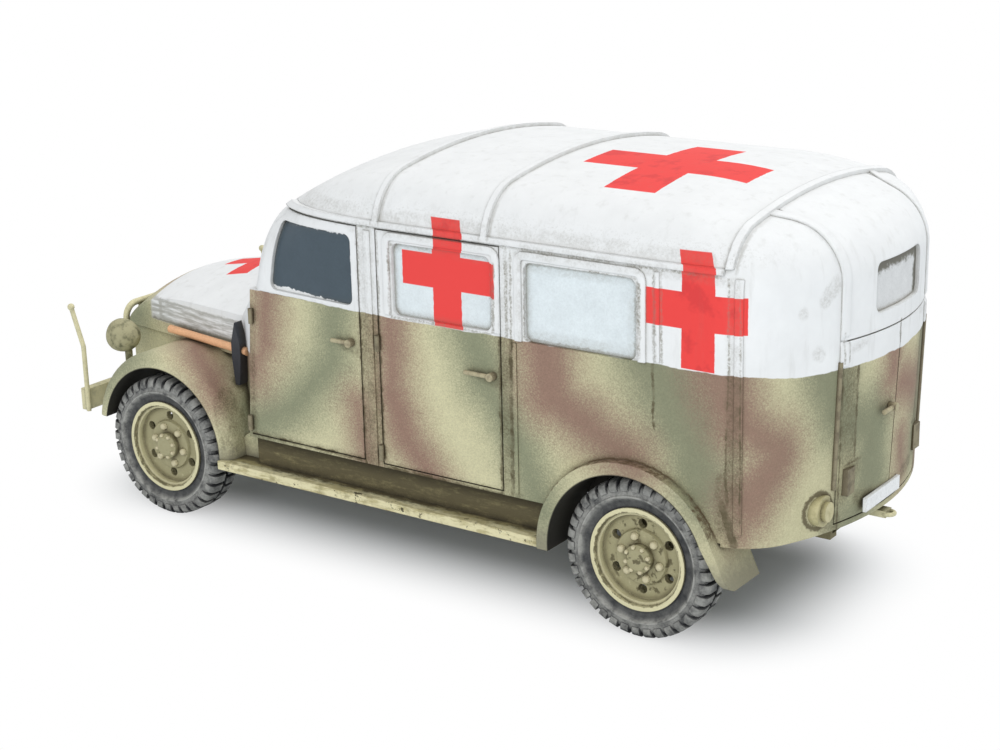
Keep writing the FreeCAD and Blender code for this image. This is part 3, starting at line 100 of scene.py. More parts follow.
class AmbulancePaints(bpy.types.PropertyGroup):
    """Colours of the paints and washes."""

    white: colour("White", "Upper body, roof and hood", (0.80, 0.815, 0.82))
    sand: colour("Sand", "Base of the camouflage", (0.60, 0.572, 0.365))
    olive: colour("Olive", "Green bands of the camouflage", (0.232, 0.248, 0.158))
    red_brown: colour("Red-brown", "Brown bands of the camouflage", (0.275, 0.168, 0.128))
    cross: colour("Cross", "Red crosses", (0.81, 0.060, 0.055))
    cab_glass: colour("Cab glass", "Dark paint of the cab windows", (0.058, 0.084, 0.106))
    frosted: colour("Frosted glass", "Pale paint of the load body's windows", (0.72, 0.785, 0.81))
    rubber: colour("Rubber", "Tyres", (0.022, 0.024, 0.028))
    dust: colour("Dust", "Dry dust on tyres and edges", (0.385, 0.385, 0.36))
    # The wash colour also paints the shadow under the door handles.
    wash: colour("Wash", "Dark wash in the seams", (0.075, 0.058, 0.026))
    grey_wash: colour("Grey wash", "Wash over the white paint", (0.25, 0.235, 0.19))
    worn_edge: colour("Worn edge", "Dry-brushed paint on the outermost edges", (0.80, 0.74, 0.47))
    lens: colour("Tail lamp", "Yellowish lens of a tail lamp", (0.43, 0.395, 0.215))
    steel: colour("Tool steel", "Pickaxe head", (0.035, 0.038, 0.045))
    wood: colour("Tool wood", "Pickaxe handle", (0.80, 0.45, 0.25))


class AmbulanceLivery(bpy.types.PropertyGroup):
    """Where the paints meet, in millimetres."""

    waist: number("Waist line", "Height of the edge between white and camouflage", 20.45)
    waist_fall: number("Waist fall", "How far that edge drops round the tail", 0.5)
    hood_line: number("Hood line", "Height of that edge ahead of the cab", 14.4)
    cross_size: number("Side cross", "Overall size of a cross on the side", 7.9)
    cross_arm: number("Side cross arm", "Width of its arms", 2.5)
    roof_cross_size: number("Roof cross", "Overall size of the cross on the roof", 13.1)
    roof_cross_arm: number("Roof cross arm", "Width of its arms", 4.05)
    hood_cross_size: number("Hood cross", "Overall size of the cross on the hood", 7.8)
    hood_cross_arm: number("Hood cross arm", "Width of its arms", 2.4)


class AmbulanceWheels(bpy.types.PropertyGroup):
    """Sizes of the tread and the wheel nuts, in millimetres."""

    lugs: count("Lugs", "Tread blocks round each shoulder", 36, 8)
    lug_share: number("Lug share", "Width of a block as a share of its pitch", 0.74)
    nuts: count("Nuts", "Wheel nuts on each wheel", 6, 3)
    nut_circle: number("Nut circle", "Radius of the circle of wheel nuts", 1.58)
    nut_radius: number("Nut radius", "Size of a wheel nut", 0.29)
    nut_height: number("Nut height", "Wheel nut above the disc", 0.34)
    bolts: count("Hub bolts", "Small bolts on each hub", 8, 3)
    bolt_circle: number("Bolt circle", "Radius of the circle of hub bolts", 0.92)
    bolt_radius: number("Bolt radius", "Size of a hub bolt", 0.17)
    bolt_height: number("Bolt height", "Hub bolt above the hub", 0.26)


class AmbulanceTrim(bpy.types.PropertyGroup):
    """Sizes of the raised strips and frames, in millimetres."""

    frame_width: number("Frame width", "Raised frame round a window", 0.60)
    frame_height: number("Frame height", "Frame beyond the body", 0.20)
    strip_width: number("Strip width", "Upright strip on the body", 0.42)
    strip_height: number("Strip height", "Strip beyond the body", 0.16)


class AmbulanceStage(bpy.types.PropertyGroup):
    """Camera, floor and light."""

    lens: number("Lens", "Focal length in millimetres", 69.42)
    roll: number("Roll", "Tilt of the camera in degrees", -1.2517)
    floor_size: number("Floor", "Side of the floor in metres", 6.0)
    key_power: number("Key", "Power of the soft box in watts", 0.40)
    fill_power: number("Fill", "Power of the fill light in watts", 0.42)
    sky: number("Sky", "Strength of the even light all round", 0.66)


# --- node graphs
class Wire:
    """A value on its way through a node tree; sums with wires and numbers add the math nodes."""

    def __init__(self, graph, socket):
        self.graph = graph
        self.socket = socket

    def __add__(self, other):
        return self.graph.math("ADD", self, other)

    def __sub__(self, other):
        return self.graph.math("SUBTRACT", self, other)

    def __rsub__(self, other):
        return self.graph.math("SUBTRACT", other, self)

    def __mul__(self, other):
        return self.graph.math("MULTIPLY", self, other)

    def __truediv__(self, other):
        return self.graph.math("DIVIDE", self, other)

    def __rtruediv__(self, other):
        return self.graph.math("DIVIDE", other, self)

    def __abs__(self):
        return self.graph.math("ABSOLUTE", self)

    def step(self, low, high):
        """0 below low, 1 above high, smooth between; the other way round if low is the larger."""
        feeds = {"Value": self, "From Min": low, "From Max": high}
        return self.graph.wire("ShaderNodeMapRange", feeds, interpolation_type="SMOOTHSTEP", clamp=False)


class Graph:
    """Adds nodes to a tree."""

    def __init__(self, tree):
        self.tree = tree

    def feed(self, socket, value):
        """Links a wire to a socket, or sets the socket to a plain value."""
        if isinstance(value, Wire):
            self.tree.links.new(value.socket, socket)
        else:
            socket.default_value = value

    def node(self, kind, feeds=None, **settings):
        """A new node with its settings made and its sockets fed."""
        made = self.tree.nodes.new(kind)
        for name, value in settings.items():
            setattr(made, name, value)
        for name, value in (feeds or {}).items():
            self.feed(made.inputs[name], value)
        return made

    def wires(self, node):
        """Every output of a node, by name."""
        return {socket.name: Wire(self, socket) for socket in node.outputs}

    def wire(self, kind, feeds=None, out=0, **settings):
        """One output of a new node, by name or place."""
        return Wire(self, self.node(kind, feeds, **settings).outputs[out])

    def group(self, name, feeds=None):
        """The outputs of a node group that is already built."""
        return self.wires(self.node("ShaderNodeGroup", feeds, node_tree=bpy.data.node_groups[name]))

    def math(self, operation, *values):
        """One sum; the operators of a wire stand for the usual ones."""
        return self.wire("ShaderNodeMath", dict(enumerate(values)), operation=operation)

    def vector(self, operation, *values, out=0):
        """One sum with vectors; out is 1 where the result is a number."""
        return self.wire("ShaderNodeVectorMath", dict(enumerate(values)), out, operation=operation)

    def scale(self, vector, factor):
        """A vector times a number."""
        return self.wire("ShaderNodeVectorMath", {0: vector, "Scale": factor}, operation="SCALE")

    def parts(self, vector):
        """The three numbers of a vector."""
        return self.wires(self.node("ShaderNodeSeparateXYZ", {"Vector": vector})).values()

    def join(self, x, y, z):
        """A vector of three numbers."""
        return self.wire("ShaderNodeCombineXYZ", {"X": x, "Y": y, "Z": z})

    def length(self, x, y):
        """Length of a flat vector."""
        return self.vector("LENGTH", self.join(x, y, 0.0), out=1)

    def noise(self, place, scale, detail=2.0, roughness=0.5):
        """Soft noise from 0 to 1, mostly near a half."""
        feeds = {"Vector": place, "Scale": scale, "Detail": detail, "Roughness": roughness}
        return self.wire("ShaderNodeTexNoise", feeds)

    def drawn(self, place, stretch, scale, detail, roughness):
        """Noise drawn out by a different scale along each axis."""
        return self.noise(self.vector("MULTIPLY", place, stretch), scale, detail, roughness)

    def mix(self, factor, low, high):
        """One colour at 0, the other at 1."""
        return self.wire("ShaderNodeMix", {"Factor": factor, 6: low, 7: high}, 2, data_type="RGBA")

    def tinted(self, tone, light):
        """A colour with its brightness multiplied."""
        tone = tone if isinstance(tone, Wire) else (*tone,)
        return self.vector("MULTIPLY", tone, self.join(light, light, light))

    def high(self, *values):
        """The largest of the values."""
        return functools.reduce(functools.partial(self.math, "MAXIMUM"), values)

    def low(self, *values):
        """The smallest of the values."""
        return functools.reduce(functools.partial(self.math, "MINIMUM"), values)

    def openness(self):
        """1 in the open, less the closer the surface is boxed in."""
        return self.wire("ShaderNodeAmbientOcclusion", {"Distance": OPEN_REACH}, "AO", samples=6)

    def seen_directly(self, *rays):
        """1 for rays of the named kinds, 0 for all others."""
        path = self.wires(self.node("ShaderNodeLightPath"))
        return self.high(*(path[ray] for ray in rays))


class Group(Graph):
    """A new node group, of the kind Shader or Geometry, with sockets by name and type."""

    def __init__(self, name, kind, inputs, outputs):
        super().__init__(bpy.data.node_groups.new(name, f"{kind}NodeTree"))
        for way, sockets in (("INPUT", inputs), ("OUTPUT", outputs)):
            for socket, value in sockets.items():
                self.tree.interface.new_socket(socket, in_out=way, socket_type=f"NodeSocket{value}")
        self.given = self.wires(self.node("NodeGroupInput"))
        self.exit = self.node("NodeGroupOutput")

    def give(self, **values):
        """Feeds the outputs of the group."""
        for name, value in values.items():
            self.feed(self.exit.inputs[name], value)


class Coats(Graph):
    """A new material, painted coat over coat on a Principled shader."""

    def __init__(self, name):
        self.material = bpy.data.materials.new(name)
        self.material.use_nodes = True
        super().__init__(self.material.node_tree)
        self.shader = self.tree.nodes["Principled BSDF"]
        self.shader.inputs["Specular IOR Level"].default_value = 0.3
        self.place = self.group("Place")["Place"]
        self.base = None

    def coat(self, mask, colour):
        """Lays a colour over the coats so far, as far as the mask goes."""
        colour = colour if isinstance(colour, Wire) else (*colour, 1)
        self.base = self.mix(mask, self.base, colour)

    def finish(self, roughness, brushing=0.3, rounding=0.10):
        """Closes the material with brush marks and soft cast edges, and gives it back."""
        place = self.group("Place")["Place"]
        coarse = self.noise(place, 1.1, 3.0, 0.55)
        fine = self.noise(place, 6.0, 2.0, 0.6)
        edge = self.wire("ShaderNodeBevel", {"Radius": rounding * MM}, samples=4)
        bump = {"Height": fine * 0.3 + coarse, "Normal": edge, "Strength": brushing, "Distance": BUMP_DEPTH}
        self.feed(self.shader.inputs["Base Color"], self.base)
        self.feed(self.shader.inputs["Roughness"], roughness)
        self.feed(self.shader.inputs["Normal"], self.wire("ShaderNodeBump", bump))
        return self.material


TAIL_DEPTH = 13.25
HALF_WIDTH = 13.4
TAIL_MIDDLE = -(TAIL_DEPTH + HALF_WIDTH)


def build_place_group():
    """Stations in millimetres, and the way round the body: it runs on round the tail to TAIL_MIDDLE."""
    outputs = {"Place": "Vector", "Left": "Float", "Right": "Float", "Either": "Float"}
    graph = Group("Place", "Shader", {}, outputs)
    object_place = graph.wire("ShaderNodeTexCoord", out="Object")
    place = graph.scale(graph.vector("SUBTRACT", object_place, (REAR_AXLE, 0, 0)), 1 / MM)
    x, y, _ = graph.parts(place)
    reach = y + graph.math("SIGN", y) * (x + TAIL_DEPTH)
    graph.give(
        Place=place,
        Left=reach + TAIL_MIDDLE,
        Right=TAIL_MIDDLE - reach,
        Either=abs(reach) + TAIL_MIDDLE,
    )


# Every band: way round and height of one end, the same of the other end, half width.
CAMOUFLAGE = {
    ("olive", "Left"): (
        (25.8, 20.8, 26.2, 16.4, 1.5), (26.2, 16.4, 29.5, 12.6, 1.5), (29.5, 12.6, 34.0, 9.9, 1.5),
        (13.6, 20.8, 12.0, 17.0, 2.0), (12.0, 17.0, 9.0, 12.0, 1.5), (9.0, 12.0, 7.9, 8.6, 1.5),
        (-1.7, 20.8, -4.0, 16.8, 2.8), (-4.0, 16.8, -5.6, 12.4, 2.2), (-17.0, 20.4, -18.2, 17.4, 2.3),
        (-20.0, 16.0, -23.2, 15.0, 1.9), (-23.4, 15.4, -23.4, 11.6, 2.3),
        (-21.4, 9.2, -19.8, 8.6, 1.4), (46.8, 14.6, 51.8, 10.4, 1.2),
    ),
    ("olive", "Right"): (
        (-18.6, 20.8, -20.4, 12.0, 1.9), (-10.4, 20.8, -12.0, 13.0, 1.8), (3.6, 20.8, 1.4, 14.8, 2.1),
        (15.4, 20.8, 13.2, 14.2, 2.1), (13.2, 14.2, 9.6, 9.2, 1.8), (28.2, 20.8, 25.6, 14.0, 2.1),
        (25.6, 14.0, 22.4, 9.4, 1.7),
    ),
    ("red_brown", "Left"): (
        (32.5, 20.8, 32.9, 16.5, 1.3), (32.9, 16.5, 34.4, 13.6, 1.0), (24.0, 13.2, 23.4, 9.2, 1.0),
        (20.6, 20.8, 20.6, 14.5, 1.4), (20.6, 14.5, 19.6, 11.5, 1.8), (19.6, 11.5, 17.2, 8.6, 1.5),
        (7.2, 20.8, 6.8, 17.0, 2.3), (6.8, 17.0, 3.6, 15.2, 1.9), (3.6, 15.2, 0.6, 13.6, 1.7),
        (-6.8, 20.8, -8.2, 17.6, 2.4), (-8.2, 17.6, -12.0, 14.9, 1.8), (-12.0, 14.9, -9.2, 11.6, 2.1),
        (-9.6, 11.6, -8.4, 9.4, 0.9), (-25.8, 20.4, -26.0, 18.4, 1.3), (41.8, 15.6, 38.6, 11.6, 1.4),
    ),
    ("red_brown", "Right"): (
        (-25.6, 17.2, -22.4, 16.2, 1.5), (-24.6, 13.0, -23.8, 10.4, 1.0),
        (-14.8, 18.2, -16.4, 9.4, 1.8), (-2.4, 20.8, -4.6, 12.8, 2.0), (9.8, 20.8, 7.4, 13.6, 2.0),
        (7.4, 13.6, 4.2, 11.4, 1.6), (21.4, 20.8, 19.4, 14.0, 1.9), (19.4, 14.0, 16.2, 9.0, 1.8),
        (33.8, 20.8, 31.8, 12.8, 1.7), (41.8, 15.6, 38.6, 11.6, 1.4), (50.6, 12.2, 47.2, 14.6, 1.2),
    ),
}


def build_band_group():
    """How far a place lies outside a band round the run between two points."""
    inputs = {"Place": "Vector", "Start": "Vector", "End": "Vector", "Half Width": "Float"}
    graph = Group("Band", "Shader", inputs, {"Beyond": "Float"})
    start = graph.given["Start"]
    reach = graph.vector("SUBTRACT", graph.given["Place"], start)
    run = graph.vector("SUBTRACT", graph.given["End"], start)
    along = graph.vector("DOT_PRODUCT", reach, run, out=1)
    share = along / graph.vector("DOT_PRODUCT", run, run, out=1)
    nearest = graph.scale(run, graph.low(graph.high(share, 0.0), 1.0))
    gap = graph.vector("LENGTH", graph.vector("SUBTRACT", reach, nearest), out=1)
    graph.give(Beyond=gap - graph.given["Half Width"])


def nearest_band(graph, flat, bands):
    """The smallest distance outside any of the bands."""
    nearest = None
    for way, height, end_way, end_height, half_width in bands:
        feeds = {"Place": flat, "Start": (way, height, 0), "End": (end_way, end_height, 0)}
        beyond = graph.group("Band", {**feeds, "Half Width": half_width})["Beyond"]
        nearest = beyond if nearest is None else graph.low(nearest, beyond)
    return nearest


def build_camouflage_group(paints):
    """Sand with olive and red-brown bands that fade into each other, speckled as sprayed paint is."""
    graph = Group("Camouflage", "Shader", {}, {"Colour": "Color"})
    where = graph.group("Place")
    place = where["Place"]
    _, _, z = graph.parts(place)
    speckle = graph.noise(place, 8.0, 2.0, 0.8)
    drift = graph.noise(place, 0.30, 2.0, 0.5)
    wander = drift * 1.6 - 0.8
    spray = speckle * 4.4 - 2.2
    flats = {side: graph.join(where[side] + wander, z, 0.0) for side in ("Left", "Right")}
    shade = (*paints.sand, 1)
    for paint, cover in (("olive", 0.96), ("red_brown", 0.97)):
        beyond = [nearest_band(graph, flat, CAMOUFLAGE[paint, side]) for side, flat in flats.items()]
        mask = (graph.low(*beyond) + spray).step(2.6, -1.7) * cover
        shade = graph.mix(mask, shade, (*getattr(paints, paint), 1))
    fine = graph.noise(place, 9.0, 2.0, 0.8)
    broad = graph.noise(place, 1.1, 3.0, 0.6)
    light = fine * 0.62 + 0.69 + (broad * 0.16 - 0.08)
    graph.give(Colour=graph.tinted(shade, light))


def build_cross_group():
    """1 inside an upright cross of a given size and arm width round the middle of a flat."""
    inputs = {"Across": "Float", "Up": "Float", "Size": "Float", "Arm": "Float"}
    graph = Group("Cross", "Shader", inputs, {"Mask": "Float"})
    half, arm = graph.given["Size"] * 0.5, graph.given["Arm"] * 0.5
    across, up = abs(graph.given["Across"]), abs(graph.given["Up"])
    level = graph.high(across - half, up - arm)
    upright = graph.high(across - arm, up - half)
    graph.give(Mask=graph.low(level, upright).step(0.03, -0.03))


# The middle of every cross: station with height on the sides, with offset on the roof and the hood.
SIDE_CROSSES = ((15.3, 24.4), (-4.9, 24.45))
ROOF_CROSS = (2.9, 2.6)
HOOD_CROSS = (44.4, 0.0)
# Where each face is left behind and reached, as offsets, heights or stations.
SIDE_FACE, ROOF_FACE = (11.2, 11.4), (29.0, 29.2)
HOOD_FACE, HOOD_TOP = (34.8, 34.9), (15.0, 15.2)


def build_crosses_group(livery):
    """All the red crosses: two on each side, one on the roof and one on the hood."""
    graph = Group("Crosses", "Shader", {}, {"Mask": "Float"})
    where = graph.group("Place")
    ragged = graph.noise(where["Place"], 2.2, 2.0) * 0.12 - 0.06
    x, y, z = graph.parts(where["Place"])
    x = x + ragged
    along = where["Either"] + ragged
    on_side = abs(y).step(*SIDE_FACE)
    above = z.step(*ROOF_FACE)
    ahead = x.step(*HOOD_FACE) * z.step(*HOOD_TOP)
    side, roof, hood = (
        {"Size": getattr(livery, f"{name}_size"), "Arm": getattr(livery, f"{name}_arm")}
        for name in ("cross", "roof_cross", "hood_cross")
    )
    crosses = [(along, z, middle, side, on_side) for middle in SIDE_CROSSES]
    crosses += [(x, y, ROOF_CROSS, roof, above), (x, y, HOOD_CROSS, hood, ahead)]
    masks = []
    for across, up, (station, height), sizes, shown in crosses:
        feeds = {"Across": across - station, "Up": up - height, **sizes}
        masks.append(graph.group("Cross", feeds)["Mask"] * shown)
    graph.give(Mask=graph.high(*masks))


# Bands of wash: sharp seams and soft stains on the camouflage, then the same on the white. Two of the soft stains
# on the camouflage are painted shadow under the door handles.
SEAMS = (
    (23.45, 8.6, 23.45, 20.4, 0.07), (21.7, 8.6, 21.7, 20.4, 0.08), (10.95, 8.6, 10.9, 20.4, 0.08),
    (10.05, 8.6, 10.0, 20.4, 0.1), (34.7, 9.0, 24.0, 8.9, 0.1), (21.6, 8.7, 10.9, 8.6, 0.12),
    (-1.55, 15.9, -1.5, 20.4, 0.03), (-7.15, 13.4, -7.25, 20.4, 0.03), (-7.35, 11.0, -7.1, 13.6, 0.1),
    (-7.9, 8.7, -6.9, 11.4, 0.3), (-8.35, 10.0, -8.2, 20.4, 0.04), (-18.95, 18.4, -18.9, 20.0, 0.16),
    (-18.95, 8.5, -18.95, 19.0, 0.07), (-20.85, 13.4, -20.8, 19.9, 0.08),
    (-21.6, 13.1, -19.6, 12.9, 0.06), (-26.6, 9.0, -26.6, 20.0, 0.04),
)
STAINS_AND_HANDLE_SHADOWS = (
    (22.6, 8.6, 22.6, 20.4, 0.7), (10.5, 8.6, 10.5, 20.4, 0.35), (-7.7, 9.0, -7.7, 20.4, 0.35),
    (-7.0, 9.6, -6.9, 13.0, 0.35), (-19.9, 13.4, -19.9, 19.8, 0.8), (-19.2, 11.0, -20.6, 12.6, 0.7),
    (-17.6, 8.9, -18.6, 9.0, 0.5), (-21.4, 10.2, -23.4, 10.0, 0.25), (35.0, 8.9, 9.5, 8.6, 0.16),
    # On this line and the next, the bands from (12.6, 17.3) and from (25.0, 17.6) are painted shadow under the
    # door handles.
    (34.8, 9.2, 34.4, 19.0, 0.22), (37.6, 10.2, 37.0, 6.6, 1.1), (12.6, 17.3, 10.6, 16.9, 0.1),
    (25.0, 17.6, 23.9, 17.35, 0.08), (35.0, 9.6, 36.4, 8.2, 0.5),
)
GREY_SEAMS = (
    (31.0, 27.0, -6.6, 26.95, 0.06), (8.75, 20.8, 8.7, 25.6, 0.09), (8.5, 25.95, -0.1, 26.1, 0.08),
    (-0.3, 25.8, -0.3, 20.8, 0.1), (8.6, 20.55, -0.2, 20.5, 0.06), (20.65, 20.8, 20.6, 25.6, 0.08),
    (20.4, 25.95, 17.0, 25.9, 0.06), (20.5, 20.55, 11.7, 20.5, 0.07), (11.5, 20.7, 11.4, 25.7, 0.05),
    (21.65, 20.5, 21.6, 26.7, 0.05), (10.35, 20.5, 10.3, 26.8, 0.1), (9.95, 20.5, 9.9, 26.8, 0.05),
    (23.45, 20.5, 23.4, 26.8, 0.05), (-1.6, 20.5, -1.55, 26.9, 0.05), (-2.15, 20.5, -2.1, 26.9, 0.04),
    (-7.3, 20.5, -7.2, 26.9, 0.05), (-8.2, 20.5, -8.1, 25.6, 0.05), (-18.95, 20.4, -18.9, 22.4, 0.05),
    (-19.6, 20.4, -19.55, 21.8, 0.04), (-26.6, 20.4, -26.6, 21.9, 0.05),
)
GREY_STAINS = (
    (23.1, 20.6, 23.1, 26.8, 0.3), (22.2, 20.6, 22.2, 26.8, 0.1), (10.6, 20.6, 10.4, 26.8, 0.35),
    (9.3, 20.6, 9.2, 26.8, 0.1), (20.2, 20.9, 20.2, 25.6, 0.3), (20.2, 25.8, 12.0, 25.7, 0.12),
    (20.2, 20.8, 12.0, 20.8, 0.12), (8.4, 21.0, 8.4, 25.6, 0.2), (8.4, 25.7, 0.2, 25.8, 0.16),
    (0.0, 25.6, 0.0, 21.0, 0.12), (8.4, 20.9, 0.2, 20.9, 0.16), (24.0, 27.0, -6.6, 26.9, 0.3),
    (30.0, 28.0, -6.0, 28.0, 0.25), (-7.7, 20.6, -7.6, 26.6, 0.4), (-15.9, 21.4, -16.2, 21.3, 0.32),
    (-14.2, 24.3, -14.3, 24.3, 0.22), (-16.6, 25.0, -17.8, 25.9, 0.42),
    (-20.0, 21.2, -21.8, 21.5, 0.1),
)
RIBS = (12.0, 21.6, -7.0)
RIB_HALF_WIDTH = 0.36
# From where to where the wash comes in: stations, offsets, then heights.
WINDSCREEN, TAIL_CURVE = (31.0, 30.0), (-11.0, -6.0)
CAB_SIDE = (10.6, 11.2)
RIB_FOOT, RIB_FADE = (27.0, 27.4), (31.0, 28.3)
GUTTER, ROOF_FADE = (27.4, 27.8), (29.6, 27.9)


def build_wash_group():
    """How much wash lies at a point: in the seams and stains of each paint, in corners and by the ribs; two of the
    stains are painted shadow under the door handles.
    """
    outputs = {"Brown": "Float", "Grey": "Float", "Corner": "Float", "Open": "Float"}
    graph = Group("Wash", "Shader", {}, outputs)
    where = graph.group("Place")
    place = where["Place"]
    x, y, z = graph.parts(place)
    ragged = graph.noise(place, 2.6, 3.0, 0.7)
    blotch = graph.noise(place, 0.8, 4.0, 0.65)
    fine = graph.noise(place, 5.0, 3.0, 0.75)
    sway = graph.noise(place, 0.9, 2.0) * 0.24 - 0.12
    flat = graph.join(where["Either"] + sway, z, 0.0)
    rough = ragged * 0.42 - 0.21
    patchy = blotch.step(0.30, 0.62)
    beside = graph.high(x.step(*WINDSCREEN), abs(y).step(*CAB_SIDE))

    def settled(bands, spread, strength, floor):
        """Wash in the bands: it fades out over the spread, and its strength varies down to the floor."""
        mask = (nearest_band(graph, flat, bands) + rough).step(spread, -0.02)
        return mask * beside * (patchy * (strength - floor) + floor)

    speckled = fine.step(0.35, 0.62) * 0.7 + 0.3
    brown = settled(SEAMS, spread=0.14, strength=0.92, floor=0.30)
    # The soft stains include painted shadow under the door handles.
    brown_stain_and_handle_shadow = settled(STAINS_AND_HANDLE_SHADOWS, spread=0.55, strength=0.62, floor=0.30) * speckled
    grey = settled(GREY_SEAMS, spread=0.12, strength=0.90, floor=0.28) * speckled
    grey_stain = settled(GREY_STAINS, spread=0.40, strength=0.32, floor=0.04) * speckled
    by_rib = graph.low(*(abs(abs(x - rib) - RIB_HALF_WIDTH) for rib in RIBS))
    rib_edge = (by_rib + rough).step(0.22, 0.0) * z.step(*RIB_FOOT)
    rib_edge = rib_edge * (z.step(*RIB_FADE) * 0.4 + 0.05)
    low_roof = z.step(*GUTTER) * z.step(*ROOF_FADE)
    low_roof = low_roof * (fine.step(0.50, 0.68) * 0.34) * x.step(*TAIL_CURVE)
    near = graph.openness()
    graph.give(
        Brown=graph.high(brown, brown_stain_and_handle_shadow),
        Grey=graph.high(grey, grey_stain, rib_edge, low_roof),
        Corner=near.step(0.90, 0.42) * (patchy * 0.5 + 0.5),
        Open=near,
    )


def nearer_radius(graph, place, rear, front):
    """Distance of a place from the nearer of two cross lines, each given as a station and a height."""
    x, _, z = graph.parts(place)
    at_front = graph.math("GREATER_THAN", x, (rear[0] + front[0]) / 2)
    along = x - (at_front * (front[0] - rear[0]) + rear[0])
    up = z - (at_front * (front[1] - rear[1]) + rear[1])
    return graph.length(along, up)


# Middle of the rear and of the front wheel arch, and of each axle, as a station and a height.
ARCHES = ((0.3, 6.0), (44.8, 6.4))
WHEELS = tuple(
    ((AXLES[wheel].x - REAR_AXLE) / MM, AXLES[wheel].z / MM)
    for wheel in ("wheel_rear_left", "wheel_front_left")
)


# --- paints
# From where to where a paint or a mark comes in: stations, the way round, offsets, heights and radii.
CAB_FRONT, NOSE, TAIL_TURN = (35.25, 35.35), (51.4, 51.8), (-7.0, -17.0)
HOOD_SIDE, HOOD_REAR = (5.6, 6.2), (38.6, 39.4)
HOOD_EDGE, HOOD_FOOT = (16.60, 16.45), (15.15, 14.65)
FILM_FRONT, FILM_REAR = (9.0, 0.0), (-13.15, -12.6)
FENDER_SIDE, ARCH_REAR, ARCH_ABOVE = (12.6, 13.2), (16.0, 15.0), (8.6, 9.4)
SPLASHED = (9.2, 6.8)
BOARD_LIP, BOARD_MUD, BOARD_MIDDLE = (13.2, 13.6), (13.5, 12.95), (12.3, 13.1)
BOARD_SILL = (7.2, 8.3)
FLANGE, RIM_DISC, RIM_CENTRE = (3.15, 3.4), (3.25, 3.05), (2.95, 2.7)
REAR_WHEELS = (30.0, 15.0)
RUBBED_WALL = (4.25, 4.55)
# Where single lines of dirt lie: heights, stations and radii.
HOOD_HINGE, HOOD_NOSE = 16.35, 50.6
ARCH_LINE, ARCH_OPENING = 7.48, (6.42, 6.30)
LAMP_RING, BEAD_RADIUS, SIDEWALL_RIDGE = 1.52, 3.63, 4.66
TAIL_LAMP = (-11.5, 8.2, 10.2)
# Tones of dirt, of painted shade (in the deepest gaps, inside the arches, on the sill and between the tread
# blocks) and of bare spots, from the body down to the tyres.
FADED_RED = (0.42, 0.02, 0.03)
HOOD_DIRT, ARCH_DIRT, LAMP_DIRT = (0.16, 0.15, 0.10), (0.10, 0.06, 0.03), (0.07, 0.052, 0.022)
REAR_FILM, SPLASHES = (0.16, 0.14, 0.09), (0.19, 0.18, 0.135)
# The first two tones on the next line are painted shade for the deepest gaps, on the camouflage and on the white;
# the third is painted shade inside the wheel arches.
GAP_PAINTED_SHADE_DARK, GAP_PAINTED_SHADE_PALE, ARCH_PAINTED_SHADE = (0.014, 0.012, 0.008), (0.30, 0.29, 0.26), (0.012, 0.011, 0.010)
MUD, SANDY_STREAK, MUD_SMEAR = (0.070, 0.054, 0.024), (0.42, 0.37, 0.18), (0.27, 0.235, 0.115)
SILL_PAINTED_SHADE, CHIP = (0.030, 0.024, 0.011), (0.03, 0.024, 0.012)
RIM_WASH, RIM_PATCH, RIM_DIRT = (0.20, 0.175, 0.085), (0.06, 0.048, 0.02), (0.06, 0.045, 0.018)
TREAD_PAINTED_SHADE = (0.006, 0.006, 0.008)
PANE_DIRT = (0.16, 0.155, 0.13)


def is_upper(graph, livery):
    """1 on the white paint, 0 on the camouflage, with a brushed line between them."""
    where = graph.group("Place")
    place = where["Place"]
    x, _, z = graph.parts(place)
    wave = graph.noise(place, 0.5, 3.0, 0.6) * 0.36 - 0.18
    ahead = x.step(*CAB_FRONT)
    line = ahead * (livery.hood_line - livery.waist) + livery.waist
    round_tail = where["Either"].step(*TAIL_TURN)
    over = z - (line - round_tail * livery.waist_fall) + wave
    return over.step(-0.04, 0.04) * (1.0 - x.step(*NOSE))


def hood_streaks(graph, place):
    """Lengthwise dirt on the sides of the hood, with dark lines along their edges."""
    x, y, z = graph.parts(place)
    drawn = graph.drawn(place, (0.16, 1.0, 2.6), 1.3, 4.0, 0.65)
    rough = graph.noise(place, 2.0, 3.0, 0.7)
    on_side = abs(y).step(*HOOD_SIDE) * x.step(*HOOD_REAR) * (rough * 0.3 + z).step(*HOOD_EDGE)
    streak = drawn.step(0.36, 0.66) * 0.62
    foot = (rough * 0.4 + z).step(*HOOD_FOOT)
    top = abs(rough * 0.3 + z - HOOD_HINGE).step(0.16, 0.04)
    nose = abs(rough * 0.6 + x - HOOD_NOSE).step(0.35, 0.1)
    return graph.high(streak, foot * 0.85, top * 0.5, nose * 0.5) * on_side


